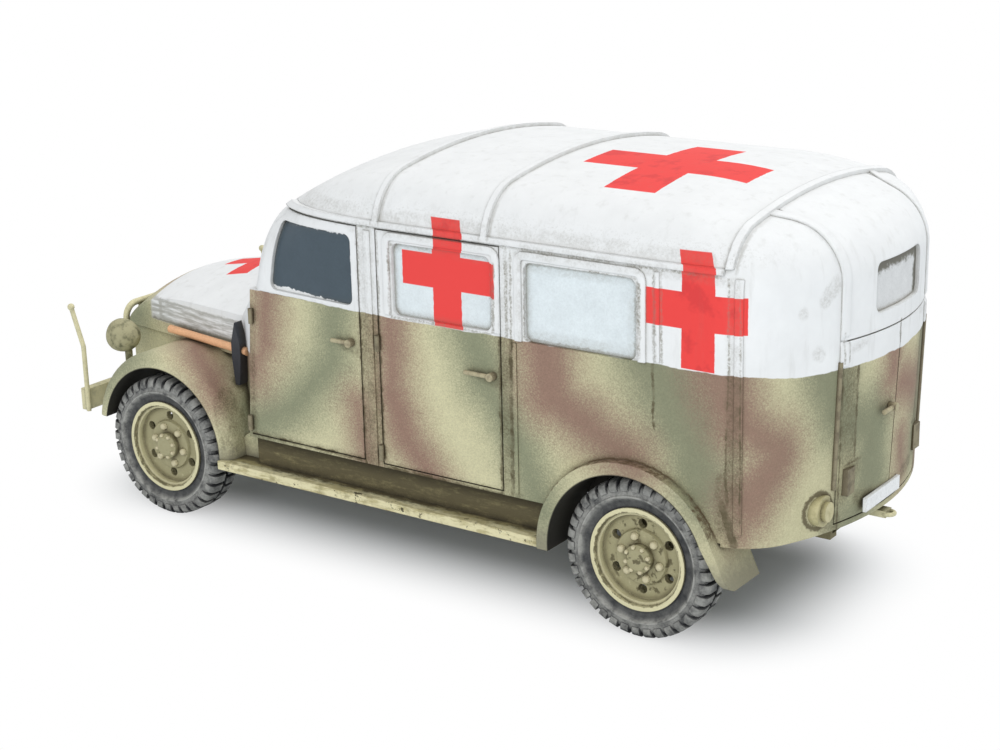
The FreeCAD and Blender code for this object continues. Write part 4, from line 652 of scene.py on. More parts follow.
def livery_material(paints, livery):
    """White over camouflage with crosses, washes and grime, and painted shade in the deepest gaps and inside the
    wheel arches.
    """
    graph = Coats("livery")
    place = graph.place
    white_share = is_upper(graph, livery)
    cloudy = graph.noise(place, 0.45, 3.0, 0.6)
    white = graph.tinted(paints.white, cloudy * 0.14 + 0.93)
    camouflage = graph.group("Camouflage")["Colour"]
    graph.base = graph.mix(white_share, camouflage, white)
    crossed = graph.group("Crosses")["Mask"] * white_share
    patch = graph.noise(place, 0.55, 3.0, 0.65).step(0.50, 0.66)
    red = graph.mix(patch * 0.30, (*paints.cross, 1), (*FADED_RED, 1))
    graph.coat(crossed, red)
    wash = graph.group("Wash")
    streaks = graph.drawn(place, (1.6, 1.6, 0.25), 0.8, 4.0, 0.6)
    grime = streaks.step(0.52, 0.80) * 0.16
    grey = graph.high(wash["Grey"], wash["Corner"] * 0.52, grime) * (1.0 - crossed * 0.45)
    graph.coat(grey * white_share, paints.grey_wash)
    graph.coat(hood_streaks(graph, place) * white_share, HOOD_DIRT)
    lower = 1.0 - white_share
    # Brown wash on the camouflage, together with the painted shadow under the door handles.
    brown = graph.high(wash["Brown"], wash["Corner"] * 0.85)
    graph.coat(brown * lower, paints.wash)
    x, y, z = graph.parts(place)
    rough = graph.noise(place, 2.4, 3.0, 0.7)
    arch = nearer_radius(graph, place, *ARCHES)
    line = abs(rough * 0.36 + arch - ARCH_LINE).step(0.09, 0.02)
    line = line * (abs(y).step(*FENDER_SIDE) * x.step(*ARCH_REAR))
    line = line * cloudy.step(0.40, 0.52) * z.step(*ARCH_ABOVE)
    graph.coat(line * 0.85, ARCH_DIRT)
    round_lamp = graph.vector("LENGTH", graph.vector("SUBTRACT", place, TAIL_LAMP), out=1)
    ring = abs(rough * 0.5 + round_lamp - LAMP_RING).step(0.26, 0.08)
    graph.coat(ring * 0.85, LAMP_DIRT)
    film = x.step(*FILM_FRONT) * x.step(*FILM_REAR) * (rough * 0.24 + 0.06)
    graph.coat(film * lower, REAR_FILM)
    graph.coat((rough * 2.0 + z).step(*SPLASHED) * 0.75, SPLASHES)
    # Painted shade: the deepest gaps are darkened to near black on the camouflage and to grey on the white.
    gap_painted_shade = wash["Open"].step(0.42, 0.12) * 0.8
    graph.coat(gap_painted_shade, graph.mix(white_share, (*GAP_PAINTED_SHADE_DARK, 1), (*GAP_PAINTED_SHADE_PALE, 1)))
    # Painted shade: the inside of the wheel arches, near black.
    graph.coat(arch.step(*ARCH_OPENING) * 0.97, ARCH_PAINTED_SHADE)
    return graph.finish(0.72)


def worn_paint(name, tone, paints, roughness=0.75, washed=0.9, mottle=0.16, edge=0.0):
    """One flat paint with mottling, wash in its corners and worn pale edges."""
    graph = Coats(name)
    place = graph.place
    blotch = graph.noise(place, 1.3, 4.0, 0.6)
    fine = graph.noise(place, 7.0, 2.0, 0.7)
    graph.base = graph.tinted(tone, blotch * (2 * mottle) + (1 - mottle) + (fine * 0.4 - 0.2))
    wash = graph.group("Wash")
    open_air = wash["Open"]
    if edge:
        rubbed = open_air.step(0.93, 1.0) * blotch.step(0.30, 0.55)
        graph.coat(rubbed * edge, paints.worn_edge)
    dark = graph.high(wash["Corner"], open_air.step(0.55, 0.2))
    graph.coat(dark * washed, paints.wash)
    return graph.finish(roughness, brushing=0.35, rounding=0.08)


def board_material(paints):
    """Running boards: a scraped sandy outer edge, dark muddy wash toward the sill, and painted shade along the top
    of the sill.
    """
    graph = Coats("board_paint")
    place = graph.place
    _, y, z = graph.parts(place)
    ragged = graph.drawn(place, (0.8, 2.0, 2.0), 1.1, 5.0, 0.8)
    out = abs(y) + (ragged * 1.5 - 0.75)
    graph.base = graph.tinted(paints.sand, graph.noise(place, 7.0, 2.0, 0.7) * 0.5 + 0.75)
    rim = out.step(*BOARD_LIP)
    graph.coat(rim * 0.75, paints.worn_edge)
    graph.coat(out.step(*BOARD_MUD) * 0.93, MUD)
    drawn = graph.drawn(place, (0.3, 1.0, 1.4), 1.2, 4.0, 0.7)
    graph.coat(drawn.step(0.44, 0.62) * out.step(*BOARD_MIDDLE) * 0.78, SANDY_STREAK)
    # Painted shade along the top of the sill, under the body above it.
    graph.coat(z.step(*BOARD_SILL) * 0.8, SILL_PAINTED_SHADE)
    corner = graph.group("Wash")["Corner"]
    smear = graph.noise(place, 0.7, 4.0, 0.7).step(0.50, 0.66) * 0.55
    graph.coat(smear * rim, MUD_SMEAR)
    chips = graph.noise(place, 0.9, 4.0, 0.75).step(0.62, 0.65) * 0.85
    graph.coat(graph.high(corner, chips * rim), CHIP)
    return graph.finish(0.75, brushing=0.5, rounding=0.12)


def rim_material(paints):
    """Sandy rims: a clean bright flange, a disc dulled by olive-brown wash."""
    graph = Coats("rim_paint")
    place = graph.place
    radius = nearer_radius(graph, place, *WHEELS)
    blotch = graph.noise(place, 1.6, 4.0, 0.7)
    graph.base = graph.tinted(paints.sand, graph.noise(place, 7.0, 2.0, 0.7) * 0.4 + 0.8)
    flange = (blotch * 0.3 + radius).step(*FLANGE)
    graph.coat(flange * 0.45, paints.worn_edge)
    disc = radius.step(*RIM_DISC) * blotch.step(0.18, 0.42)
    graph.coat(disc * 0.58, RIM_WASH)
    patches = graph.noise(place, 1.5, 3.0, 0.6).step(0.53, 0.62) * radius.step(*RIM_CENTRE)
    x, _, _ = graph.parts(place)
    graph.coat(patches * x.step(*REAR_WHEELS) * 0.75, RIM_PATCH)
    wash = graph.group("Wash")
    rough = graph.noise(place, 3.0, 3.0, 0.75)
    groove = abs(rough * 0.36 + radius - BEAD_RADIUS).step(0.09, 0.03) * blotch.step(0.42, 0.52)
    dark = graph.high(wash["Corner"], wash["Open"].step(0.72, 0.4), groove * 0.8)
    graph.coat(dark * 0.92, RIM_DIRT)
    return graph.finish(0.7, brushing=0.45, rounding=0.08)


# The cab's pane: heights of its foot and head, stations of its back and front, and their slopes.
PANE_FOOT, PANE_FOOT_RISE, PANE_HEAD = 19.5, 0.05, 26.12
PANE_BACK, PANE_FRONT, PANE_FRONT_LEAN = 24.42, 37.0, 0.19


def cab_pane_edge(graph, place):
    """1 where the cab's white frame was brushed over the dark pane."""
    x, _, z = graph.parts(place)
    wave = graph.noise(place, 1.9, 3.0, 0.65) * 0.60 - 0.30
    foot = z - (x * PANE_FOOT_RISE + PANE_FOOT)
    head = PANE_HEAD - z
    back = x - PANE_BACK
    front = PANE_FRONT - z * PANE_FRONT_LEAN - x
    return (graph.low(foot, head, back, front) + wave).step(0.05, -0.03)


def tail_pane_edge(graph, place):
    """1 along the top and one side of the rear window, where dark wash gathered."""
    _, y, z = graph.parts(place)
    wave = graph.noise(place, 1.6, 4.0, 0.75) * 1.6 - 0.8
    lowest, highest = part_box("rear_window")
    head = highest[2] / MM - z
    side = y - lowest[1] / MM
    return (graph.low(head, side) + wave).step(0.95, 0.45)


def glass_material(name, tone, paints, roughness, dirt, brushed=None, over=None):
    """Paint that stands for glass, dirty along its edges; brushed tells where the paint over lies."""
    graph = Coats(name)
    place = graph.place
    cloudy = graph.noise(place, 0.8, 4.0, 0.6)
    fine = graph.noise(place, 6.0, 3.0, 0.8)
    graph.base = graph.tinted(tone, cloudy * 0.26 + 0.80 + (fine * 0.3 - 0.1))
    crossed = graph.group("Crosses")["Mask"]
    graph.coat(crossed, paints.cross)
    wash = graph.group("Wash")
    rough = graph.noise(place, 2.3, 3.0, 0.75)
    by_edge = (rough * 0.30 + wash["Open"]).step(0.98, 0.72)
    grey = graph.high(wash["Grey"], by_edge) * (1.0 - crossed * 0.6)
    graph.coat(grey * dirt, paints.grey_wash)
    if brushed:
        graph.coat(brushed(graph, place), over)
    return graph.finish(roughness, brushing=0.12, rounding=0.08)


def rubber_material(paints):
    """Black rubber with grey dust rubbed over the blocks and the sidewall, and painted shade between the blocks.
    """
    graph = Coats("rubber")
    place = graph.place
    radius = nearer_radius(graph, place, *WHEELS)
    blotch = graph.noise(place, 1.2, 4.0, 0.65)
    fine = graph.noise(place, 6.0, 3.0, 0.75)
    open_air = graph.openness()
    dusty = open_air.step(0.40, 0.98) * blotch.step(0.15, 0.75)
    by_rim = radius.step(*RUBBED_WALL) * 0.66 + 0.34
    by_rim = abs(radius - SIDEWALL_RIDGE).step(0.22, 0.06) * 0.45 + by_rim
    graph.base = (*paints.rubber, 1)
    graph.coat(dusty * by_rim * (fine * 0.55 + 0.62), paints.dust)
    # Painted shade in the gaps between the tread blocks and in the tyre's other recesses.
    graph.coat(open_air.step(0.55, 0.2), TREAD_PAINTED_SHADE)
    return graph.finish(0.75, brushing=0.4, rounding=0.06)


def toned(tone, *shares):
    """A colour with every channel multiplied, by one share or by a share each."""
    return [value * share for value, share in zip(tone, shares if len(shares) > 1 else shares * 3)]


def paint_box():
    """Every material, by the name of its slot in the record or by the node that differs from its slot."""
    scene = bpy.context.scene
    paints, livery = scene.ambulance_paints, scene.ambulance_livery
    body = livery_material(paints, livery)
    rim = rim_material(paints)
    board = board_material(paints)
    fittings = [(value + other) * 0.30 for value, other in zip(paints.sand, paints.red_brown)]
    lamp, muddy = toned(paints.sand, 0.27, 0.28, 0.25), toned(paints.sand, 0.30, 0.28, 0.24)
    box = {
        "camouflage": body,
        "white_paint": body,
        "sand_paint": worn_paint("sand_paint", toned(paints.sand, 0.86), paints, edge=0.5),
        "cab_glass": glass_material(
            "cab_glass", paints.cab_glass, paints, roughness=0.42, dirt=0.2,
            brushed=cab_pane_edge, over=paints.white,
        ),
        "windscreen": glass_material(
            "screen_glass", paints.cab_glass, paints, roughness=0.42, dirt=0.2
        ),
        "frosted_glass": glass_material(
            "frosted_glass", paints.frosted, paints, roughness=0.6, dirt=0.85
        ),
        "rear_window": glass_material(
            "tail_glass", toned(paints.white, 0.86), paints, roughness=0.6, dirt=0.95,
            brushed=tail_pane_edge, over=PANE_DIRT,
        ),
        "headlights": worn_paint("lamp_paint", lamp, paints, edge=0.35, mottle=0.3),
        "door_handles": worn_paint("handle_paint", fittings, paints, washed=1.0, edge=0.35),
        "door_hinges": worn_paint("hinge_paint", toned(fittings, 0.6), paints, washed=1.0, edge=0.15),
        "tail_lamp": worn_paint("tail_lamp_paint", paints.lens, paints, 0.5, washed=1.0, edge=0.3),
        "tyre_black": rubber_material(paints),
        "chassis": worn_paint("chassis", muddy, paints),
        "dark_recess": worn_paint("dark_recess", toned(paints.sand, 0.2), paints),
        "gunmetal": worn_paint("gunmetal", paints.steel, paints, 0.4, washed=0.3, mottle=0.3),
        "tool_wood": worn_paint("tool_wood", paints.wood, paints, 0.6, washed=0.5),
        "plate_white": worn_paint("plate_white", paints.white, paints, 0.6, washed=0.6),
        "running_board_left": board,
        "running_board_right": board,
    }
    for body_name in AXLES:
        box[body_name.replace("wheel", "rim")] = rim
    return box


class AMBULANCE_OT_paint(bpy.types.Operator):
    """Gives every sub-part of the frame its paint"""

    bl_idname = "ambulance.paint"
    bl_label = "Paint Sub-parts"

    def execute(self, context):
        build_place_group()
        build_band_group()
        build_camouflage_group(context.scene.ambulance_paints)
        build_cross_group()
        build_crosses_group(context.scene.ambulance_livery)
        build_wash_group()
        box = paint_box()
        for node, obj in frame["nodes"].items():
            obj.data.materials.clear()
            obj.data.materials.append(box.get(node, box[SLOT_OF[node]]))
        return {"FINISHED"}


# --- pieces
SMOOTH_ANGLE = math.radians(38)


def place_object(name, data):
    """A new object in the scene, at the origin."""
    made = bpy.data.objects.new(name, data)
    bpy.context.scene.collection.objects.link(made)
    return made


def turn_into_mesh(name, shell):
    """The finished mesh of a bmesh."""
    mesh = bpy.data.meshes.new(name)
    shell.to_mesh(mesh)
    shell.free()
    return mesh


def close_shell(name, shell):
    """The finished mesh of a closed shell, with its faces outward."""
    bmesh.ops.recalc_face_normals(shell, faces=shell.faces)
    return turn_into_mesh(name, shell)


def grow(name, mesh, tree_name, values):
    """A plain mesh piece that a Geometry Nodes tree makes from a starting mesh."""
    tree = bpy.data.node_groups[tree_name]
    source = place_object(f"{name}_start", mesh)
    modifier = source.modifiers.new(tree_name, "NODES")
    modifier.node_group = tree
    for item in tree.interface.items_tree:
        if item.in_out == "INPUT" and item.name in values:
            modifier[item.identifier] = values[item.name]
    depsgraph = bpy.context.evaluated_depsgraph_get()
    made = bpy.data.meshes.new_from_object(source.evaluated_get(depsgraph), depsgraph=depsgraph)
    bpy.data.objects.remove(source)
    made.name = name
    made.shade_smooth()
    made.set_sharp_from_angle(angle=SMOOTH_ANGLE)
    return place_object(name, made)


def turned(offset, radius, turn):
    """A point on a wheel from an offset and a radius in millimetres, turned round from the top."""
    return (radius * MM * math.sin(turn), offset * MM, radius * MM * math.cos(turn))


def add_wall(shell, low, high):
    """Faces between two rings with as many corners each."""
    for index in range(len(low)):
        after = (index + 1) % len(low)
        shell.faces.new(dict.fromkeys((low[index], low[after], high[after], high[index])))


def lathe(name, profile, segments, closed):
    """A mesh turned round the cross axis from (offset, radius) points in millimetres."""
    shell = bmesh.new()
    turns = [2 * math.pi * index / segments for index in range(segments)]
    rings = []
    for offset, radius in profile:
        if radius == 0:
            rings.append([shell.verts.new(turned(offset, 0, 0))] * segments)
        else:
            rings.append([shell.verts.new(turned(offset, radius, turn)) for turn in turns])
    pairs = list(zip(rings, rings[1:]))
    if closed:
        pairs.append((rings[-1], rings[0]))
    for low, high in pairs:
        add_wall(shell, low, high)
    return close_shell(name, shell)


SIDEWALL = (
    # offset from the tyre's middle and radius, from the bead to the tread
    (1.02, 3.62), (1.10, 3.86), (1.08, 4.02), (1.10, 4.22), (1.20, 4.42), (1.38, 4.54), (1.49, 4.62),
    (1.49, 4.70), (1.40, 4.78), (1.39, 4.95), (1.38, 5.14), (1.30, 5.36), (1.12, 5.50), (0.60, 5.54),
)
LUG_TOP = ((0.16, 5.84), (0.80, 5.84), (1.14, 5.80), (1.36, 5.64), (1.47, 5.40), (1.49, 5.20), (1.44, 5.06))
LUG_FOOT = ((0.16, 5.42), (0.80, 5.42), (1.02, 5.38), (1.12, 5.30), (1.22, 5.18), (1.28, 5.08), (1.30, 5.00))


# The corners of a block's section: on its foot or its top, and how far toward each end of its width.
LUG_CORNERS = (("foot", -1.1), ("top", -0.92), ("top", 0.92), ("foot", 1.1))
LUG_TAPER = 0.10


def lug_mesh(settings):
    """One tread block at the top of the tyre, bent down over the shoulder."""
    half = math.pi / settings.lugs * settings.lug_share
    lug = bmesh.new()
    sections = []
    for index, (top, foot) in enumerate(zip(LUG_TOP, LUG_FOOT)):
        narrow = half * (1.0 - LUG_TAPER * index / len(LUG_TOP))
        ends = {"top": top, "foot": foot}
        sections.append([lug.verts.new(turned(*ends[end], side * narrow)) for end, side in LUG_CORNERS])
    for low, high in zip(sections, sections[1:]):
        add_wall(lug, low, high)
    lug.faces.new(sections[0])
    lug.faces.new(reversed(sections[-1]))
    return close_shell("tread_block", lug)


def moved(graph, geometry, **feeds):
    """The geometry with its place, turn or scale changed."""
    return graph.wire("GeometryNodeTransform", {"Geometry": geometry, **feeds})


class Growth(Group):
    """A Geometry Nodes tree with named inputs, a geometry and a material among them."""

    def __init__(self, name, **inputs):
        inputs = {"Geometry": "Geometry", **inputs, "Material": "Material"}
        super().__init__(name, "Geometry", inputs, {"Geometry": "Geometry"})

    def turned_copies(self, instance, turn, radius):
        """As many copies of an instance as are counted, turned evenly round the cross axis."""
        total = self.given["Count"]
        points = self.wire("GeometryNodePoints", {"Count": total})
        angle = self.wire("GeometryNodeInputIndex") * (2 * math.pi / total) + turn
        place = self.join(self.math("SINE", angle) * radius, 0.0, self.math("COSINE", angle) * radius)
        points = self.wire("GeometryNodeSetPosition", {"Geometry": points, "Position": place})
        feeds = {"Points": points, "Instance": instance, "Rotation": self.join(0.0, angle, 0.0)}
        copies = self.wire("GeometryNodeInstanceOnPoints", feeds)
        return self.wire("GeometryNodeRealizeInstances", {"Geometry": copies})

    def shape(self, name):
        """The geometry of an object that is one of the inputs."""
        return self.wire("GeometryNodeObjectInfo", {"Object": self.given[name]}, "Geometry")

    def end(self, geometry):
        """Gives the geometry out with the material it was given."""
        feeds = {"Geometry": geometry, "Material": self.given["Material"]}
        self.give(Geometry=self.wire("GeometryNodeSetMaterial", feeds))


def build_lug_ring():
    """A tyre with tread blocks round both shoulders, one row half a pitch behind the other."""
    graph = Growth("Lug Ring", Block="Object", Count="Int", Centre="Vector")
    near = graph.turned_copies(graph.shape("Block"), 0.0, 0.0)
    far = graph.wire("GeometryNodeFlipFaces", {"Mesh": moved(graph, near, Scale=(1, -1, 1))})
    half_pitch = math.pi / graph.given["Count"]
    far = moved(graph, far, Rotation=graph.join(0.0, half_pitch, 0.0))
    tyre = graph.node("GeometryNodeJoinGeometry")
    for geometry in (graph.given["Geometry"], near, far):
        graph.feed(tyre.inputs[0], geometry)
    tyre = Wire(graph, tyre.outputs[0])
    graph.end(moved(graph, tyre, Translation=graph.given["Centre"]))


def build_bolt_ring():
    """The starting mesh repeated round a circle on a wheel's outer face."""
    graph = Growth("Bolt Ring", Count="Int", Circle="Float", Turn="Float", Facing="Vector", Centre="Vector")
    given = graph.given
    ring = graph.turned_copies(given["Geometry"], given["Turn"], given["Circle"])
    ring = moved(graph, ring, Rotation=given["Facing"])
    graph.end(moved(graph, ring, Translation=given["Centre"]))


RAY_LENGTH = 30 * MM
# How far a strip stands off the skin and how round its edges are, in shares of its height.
STRIP_LIFT, STRIP_ROUNDING = 0.35, 0.35
ROUNDING_STEPS = 2


def build_moulding():
    """A rounded strip that follows a line laid on the skin from outside along the aim."""
    graph = Growth("Moulding", Skin="Object", Aim="Vector", Width="Float", Height="Float", Spacing="Float")
    given = graph.given
    line = graph.wire("GeometryNodeMeshToCurve", {"Mesh": given["Geometry"]})
    feeds = {"Curve": line, "Length": given["Spacing"]}
    line = graph.wire("GeometryNodeResampleCurve", feeds, mode="LENGTH")
    feeds = {"Ray Direction": given["Aim"], "Ray Length": RAY_LENGTH}
    feeds["Target Geometry"] = graph.shape("Skin")
    ray = graph.wires(graph.node("GeometryNodeRaycast", feeds))
    missed = graph.wire("FunctionNodeBooleanMath", {"Boolean": ray["Is Hit"]}, operation="NOT")
    line = graph.wire("GeometryNodeDeleteGeometry", {"Geometry": line, "Selection": missed})
    normal = ray["Hit Normal"]
    line = graph.wire("GeometryNodeSetCurveNormal", {"Curve": line, "Normal": normal}, mode="FREE")
    lift = graph.scale(normal, given["Height"] * STRIP_LIFT)
    feeds = {"Geometry": line, "Position": graph.vector("ADD", ray["Hit Position"], lift)}
    line = graph.wire("GeometryNodeSetPosition", feeds)
    feeds = {"Width": given["Height"], "Height": given["Width"]}
    section = graph.wire("GeometryNodeCurvePrimitiveQuadrilateral", feeds)
    feeds = {"Curve": section, "Radius": given["Height"] * STRIP_ROUNDING, "Count": ROUNDING_STEPS}
    section = graph.wire("GeometryNodeFilletCurve", feeds, mode="POLY")
    feeds = {"Curve": line, "Profile Curve": section, "Fill Caps": True}
    graph.end(graph.wire("GeometryNodeCurveToMesh", feeds))


TYRE_SEGMENTS = 96
BOLT_SEGMENTS = 8
# Where the wheel nuts and the hub bolts stand, in millimetres outward of the middle of the wheel.
NUT_FACE, BOLT_FACE = 0.68, 1.18
# A nut's outline in shares of its height and of its radius.
NUT_PROFILE = ((0, 0), (0, 1), (0.55, 1), (0.85, 0.78), (1, 0.4), (1, 0))
NUT_TURN = 0.3


class AMBULANCE_OT_tyres(bpy.types.Operator):
    """Makes the four tyres with their tread blocks"""

    bl_idname = "ambulance.tyres"
    bl_label = "Make Tyres"

    def execute(self, context):
        settings = context.scene.ambulance_wheels
        build_lug_ring()
        profile = [*SIDEWALL, *[(-offset, radius) for offset, radius in reversed(SIDEWALL)]]
        block = place_object("tread_block", lug_mesh(settings))
        rubber = bpy.data.materials["rubber"]
        for body, centre in AXLES.items():
            name = body.replace("wheel", "tyre")
            values = {"Block": block, "Count": settings.lugs, "Centre": centre, "Material": rubber}
            tyre = lathe(name, profile, TYRE_SEGMENTS, True)
            piece = grow(f"treaded_{name}", tyre, "Lug Ring", values)
            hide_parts(name)
            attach(piece, body)
        bpy.data.objects.remove(block)
        return {"FINISHED"}


class AMBULANCE_OT_wheel_nuts(bpy.types.Operator):
    """Makes the wheel nuts and the small bolts on the hubs"""

    bl_idname = "ambulance.wheel_nuts"
    bl_label = "Make Wheel Nuts"

    def execute(self, context):
        settings = context.scene.ambulance_wheels
        build_bolt_ring()
        for body, centre in AXLES.items():
            outward = 1 if centre.y > 0 else -1
            for kind, thing, face in (("wheel_nuts", "nut", NUT_FACE), ("hub_bolts", "bolt", BOLT_FACE)):
                height = getattr(settings, f"{thing}_height")
                radius = getattr(settings, f"{thing}_radius")
                values = {
                    "Count": getattr(settings, f"{thing}s"),
                    "Circle": getattr(settings, f"{thing}_circle") * MM,
                    "Turn": NUT_TURN,
                    "Facing": (0 if outward > 0 else math.pi, 0, 0),
                    "Centre": centre + Vector((0, outward * face * MM, 0)),
                    "Material": bpy.data.materials["sand_paint"],
                }
                name = body.replace("wheel", kind)
                profile = [(height * up, radius * out) for up, out in NUT_PROFILE]
                piece = grow(name, lathe(name, profile, BOLT_SEGMENTS, False), "Bolt Ring", values)
                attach(piece, body)
        return {"FINISHED"}


SKIN = (
    "body_shell", "roof", "rear_flap", "rear_door_left", "rear_door_right",
    "side_door_left", "side_door_right", "cab_door_left", "cab_door_right",
)
STRIPS = (
    # name, width and height as shares of a strip, stations along it as (station, height)
    ("pillar_b_strip", 1.5, 0.8, ((22.55, 8.7), (22.55, 26.75))),
    ("pillar_c_low_strip", 1.0, 0.7, ((9.7, 8.6), (9.7, 20.2))),
    ("pillar_d_strip", 0.9, 0.8, ((-1.85, 20.6), (-1.8, 26.8))),
    ("pillar_e_strip", 1.4, 1.1, ((-7.75, 9.3), (-7.65, 26.9))),
)
CREASE = (
    # station, offset and height along the corner of the tail
    (-6.9, 7.9, 30.4), (-7.6, 7.5, 30.1), (-8.4, 7.05, 29.9), (-9.2, 6.8, 29.6), (-10.0, 6.7, 29.2),
    (-10.8, 6.68, 28.7), (-11.4, 6.66, 28.0), (-11.8, 6.64, 27.2), (-12.1, 6.62, 26.2),
    (-12.2, 6.6, 24.0), (-12.2, 6.6, 21.4), (-12.2, 6.6, 20.2),
)
# How far outside the body a line starts, in millimetres.
STAND_OFF = 20
CREASE_STAND_OFF = 6
# The tail strip beside the other strips.
TAIL_WIDTH, TAIL_HEIGHT = 1.9, 1.1
FRAME_GAP = 0.18
FRAME_CORNER = 0.5
FRAME_CORNER_TURNS = [math.radians(18 * step) for step in range(6)]
LINE_SPACING = 0.35


class AMBULANCE_OT_mouldings(bpy.types.Operator):
    """Lays the raised strips and window frames on the body"""

    bl_idname = "ambulance.mouldings"
    bl_label = "Make Mouldings"

    def execute(self, context):
        settings = context.scene.ambulance_trim
        width, height = settings.strip_width, settings.strip_height
        build_moulding()
        self.skin = self.make_skin()
        for side, sign in (("left", 1), ("right", -1)):
            for name, wide, high, stations in STRIPS:
                points = [at(station, sign * STAND_OFF, up) for station, up in stations]
                self.lay(f"{name}_{side}", points, (0, -sign, 0), width * wide, height * high)
            for window in ("side_window", "load_window"):
                self.frame_window(f"{window}_{side}", sign, settings)
            points = [
                at(station - CREASE_STAND_OFF, sign * offset, up + CREASE_STAND_OFF)
                for station, offset, up in CREASE
            ]
            self.lay(f"tail_strip_{side}", points, (1, 0, -1), width * TAIL_WIDTH, height * TAIL_HEIGHT)
        bpy.data.objects.remove(self.skin)
        return {"FINISHED"}

    def make_skin(self):
        """One passing copy of the outer panels, for the lines to land on."""
        panels = bmesh.new()
        for node in SKIN:
            panels.from_mesh(frame["nodes"][node].data)
        return place_object("skin", turn_into_mesh("skin", panels))

    def frame_window(self, window, sign, settings):
        """A raised frame on the sides and top of a window, down to the waist line."""
        low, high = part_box(window)
        out = (settings.frame_width * 0.5 + FRAME_GAP) * MM
        front, back, top = high.x + out, low.x - out, high.z + out
        outline = [(front, low.z), *self.corner(front, top, -1)]
        outline += [*reversed(self.corner(back, top, 1)), (back, low.z)]
        points = [Vector((across, sign * STAND_OFF * MM, up)) for across, up in outline]
        self.lay(f"{window}_frame", points, (0, -sign, 0), settings.frame_width, settings.frame_height)

    def corner(self, across, up, inward):
        """Points round a corner, from its upright to its level side."""
        radius = FRAME_CORNER * MM
        return [
            (across + inward * radius * (1 - math.cos(turn)), up - radius * (1 - math.sin(turn)))
            for turn in FRAME_CORNER_TURNS
        ]

    def lay(self, name, points, aim, width, height):
        """One strip along the points, pushed against the skin."""
        line = bpy.data.meshes.new(name)
        line.from_pydata(points, [(index, index + 1) for index in range(len(points) - 1)], [])
        values = {
            "Skin": self.skin,
            "Aim": aim,
            "Width": width * MM,
            "Height": height * MM,
            "Spacing": LINE_SPACING * MM,
            "Material": bpy.data.materials["livery"],
        }
        piece = grow(name, line, "Moulding", values)
        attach(piece, "vehicle")


SPLASH_OUTLINE = (
    # (station, height) round the plate
    (34.6, 6.0), (37.6, 6.0), (37.6, 7.4), (37.2, 7.9), (36.5, 8.3), (35.6, 8.6), (34.6, 8.7),
)
SPLASH_OFFSETS = (11.3, 11.7)


def plate_mesh(name, sign):
    """A thin upright plate with the outline of the gap it closes."""
    inner, outer = SPLASH_OFFSETS
    plate = bmesh.new()
    outline = [at(station, sign * inner, height) for station, height in SPLASH_OUTLINE]
    face = plate.faces.new([plate.verts.new(point) for point in outline])
    swept = bmesh.ops.extrude_face_region(plate, geom=[face])["geom"]
    raised = [part for part in swept if isinstance(part, bmesh.types.BMVert)]
    bmesh.ops.translate(plate, verts=raised, vec=(0, sign * (outer - inner) * MM, 0))
    return close_shell(name, plate)


class AMBULANCE_OT_splash_plates(bpy.types.Operator):
    """Closes the gap between each front fender and the sill behind it"""

    bl_idname = "ambulance.splash_plates"
    bl_label = "Make Splash Plates"

    def execute(self, context):
        for side, sign in (("left", 1), ("right", -1)):
            name = f"splash_plate_{side}"
            piece = place_object(name, plate_mesh(name, sign))
            piece.data.materials.append(bpy.data.materials["livery"])
            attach(piece, "vehicle")
        return {"FINISHED"}


# --- stage
CAMERA_PLACE = (-63.803, 119.365, 58.276)
CAMERA_AIM = (21.038, -0.901, 12.162)
SENSOR_WIDTH = 36
# Name, setting with its power, place and side in metres of every light.
LIGHTS = (
    ("key_box", "key_power", (-40, -150, 260), 0.22),
    ("fill_box", "fill_power", (-90, 240, 75), 0.30),
)
# The model's footprint, from which the floor fades: middle station, half length and half width.
FOOTPRINT = (23.0, 25.0, 4.0)
FLOOR_DROP = 0.02
PAPER = (0.78, 0.825, 0.86, 1)
WHITE = (1, 1, 1, 1)


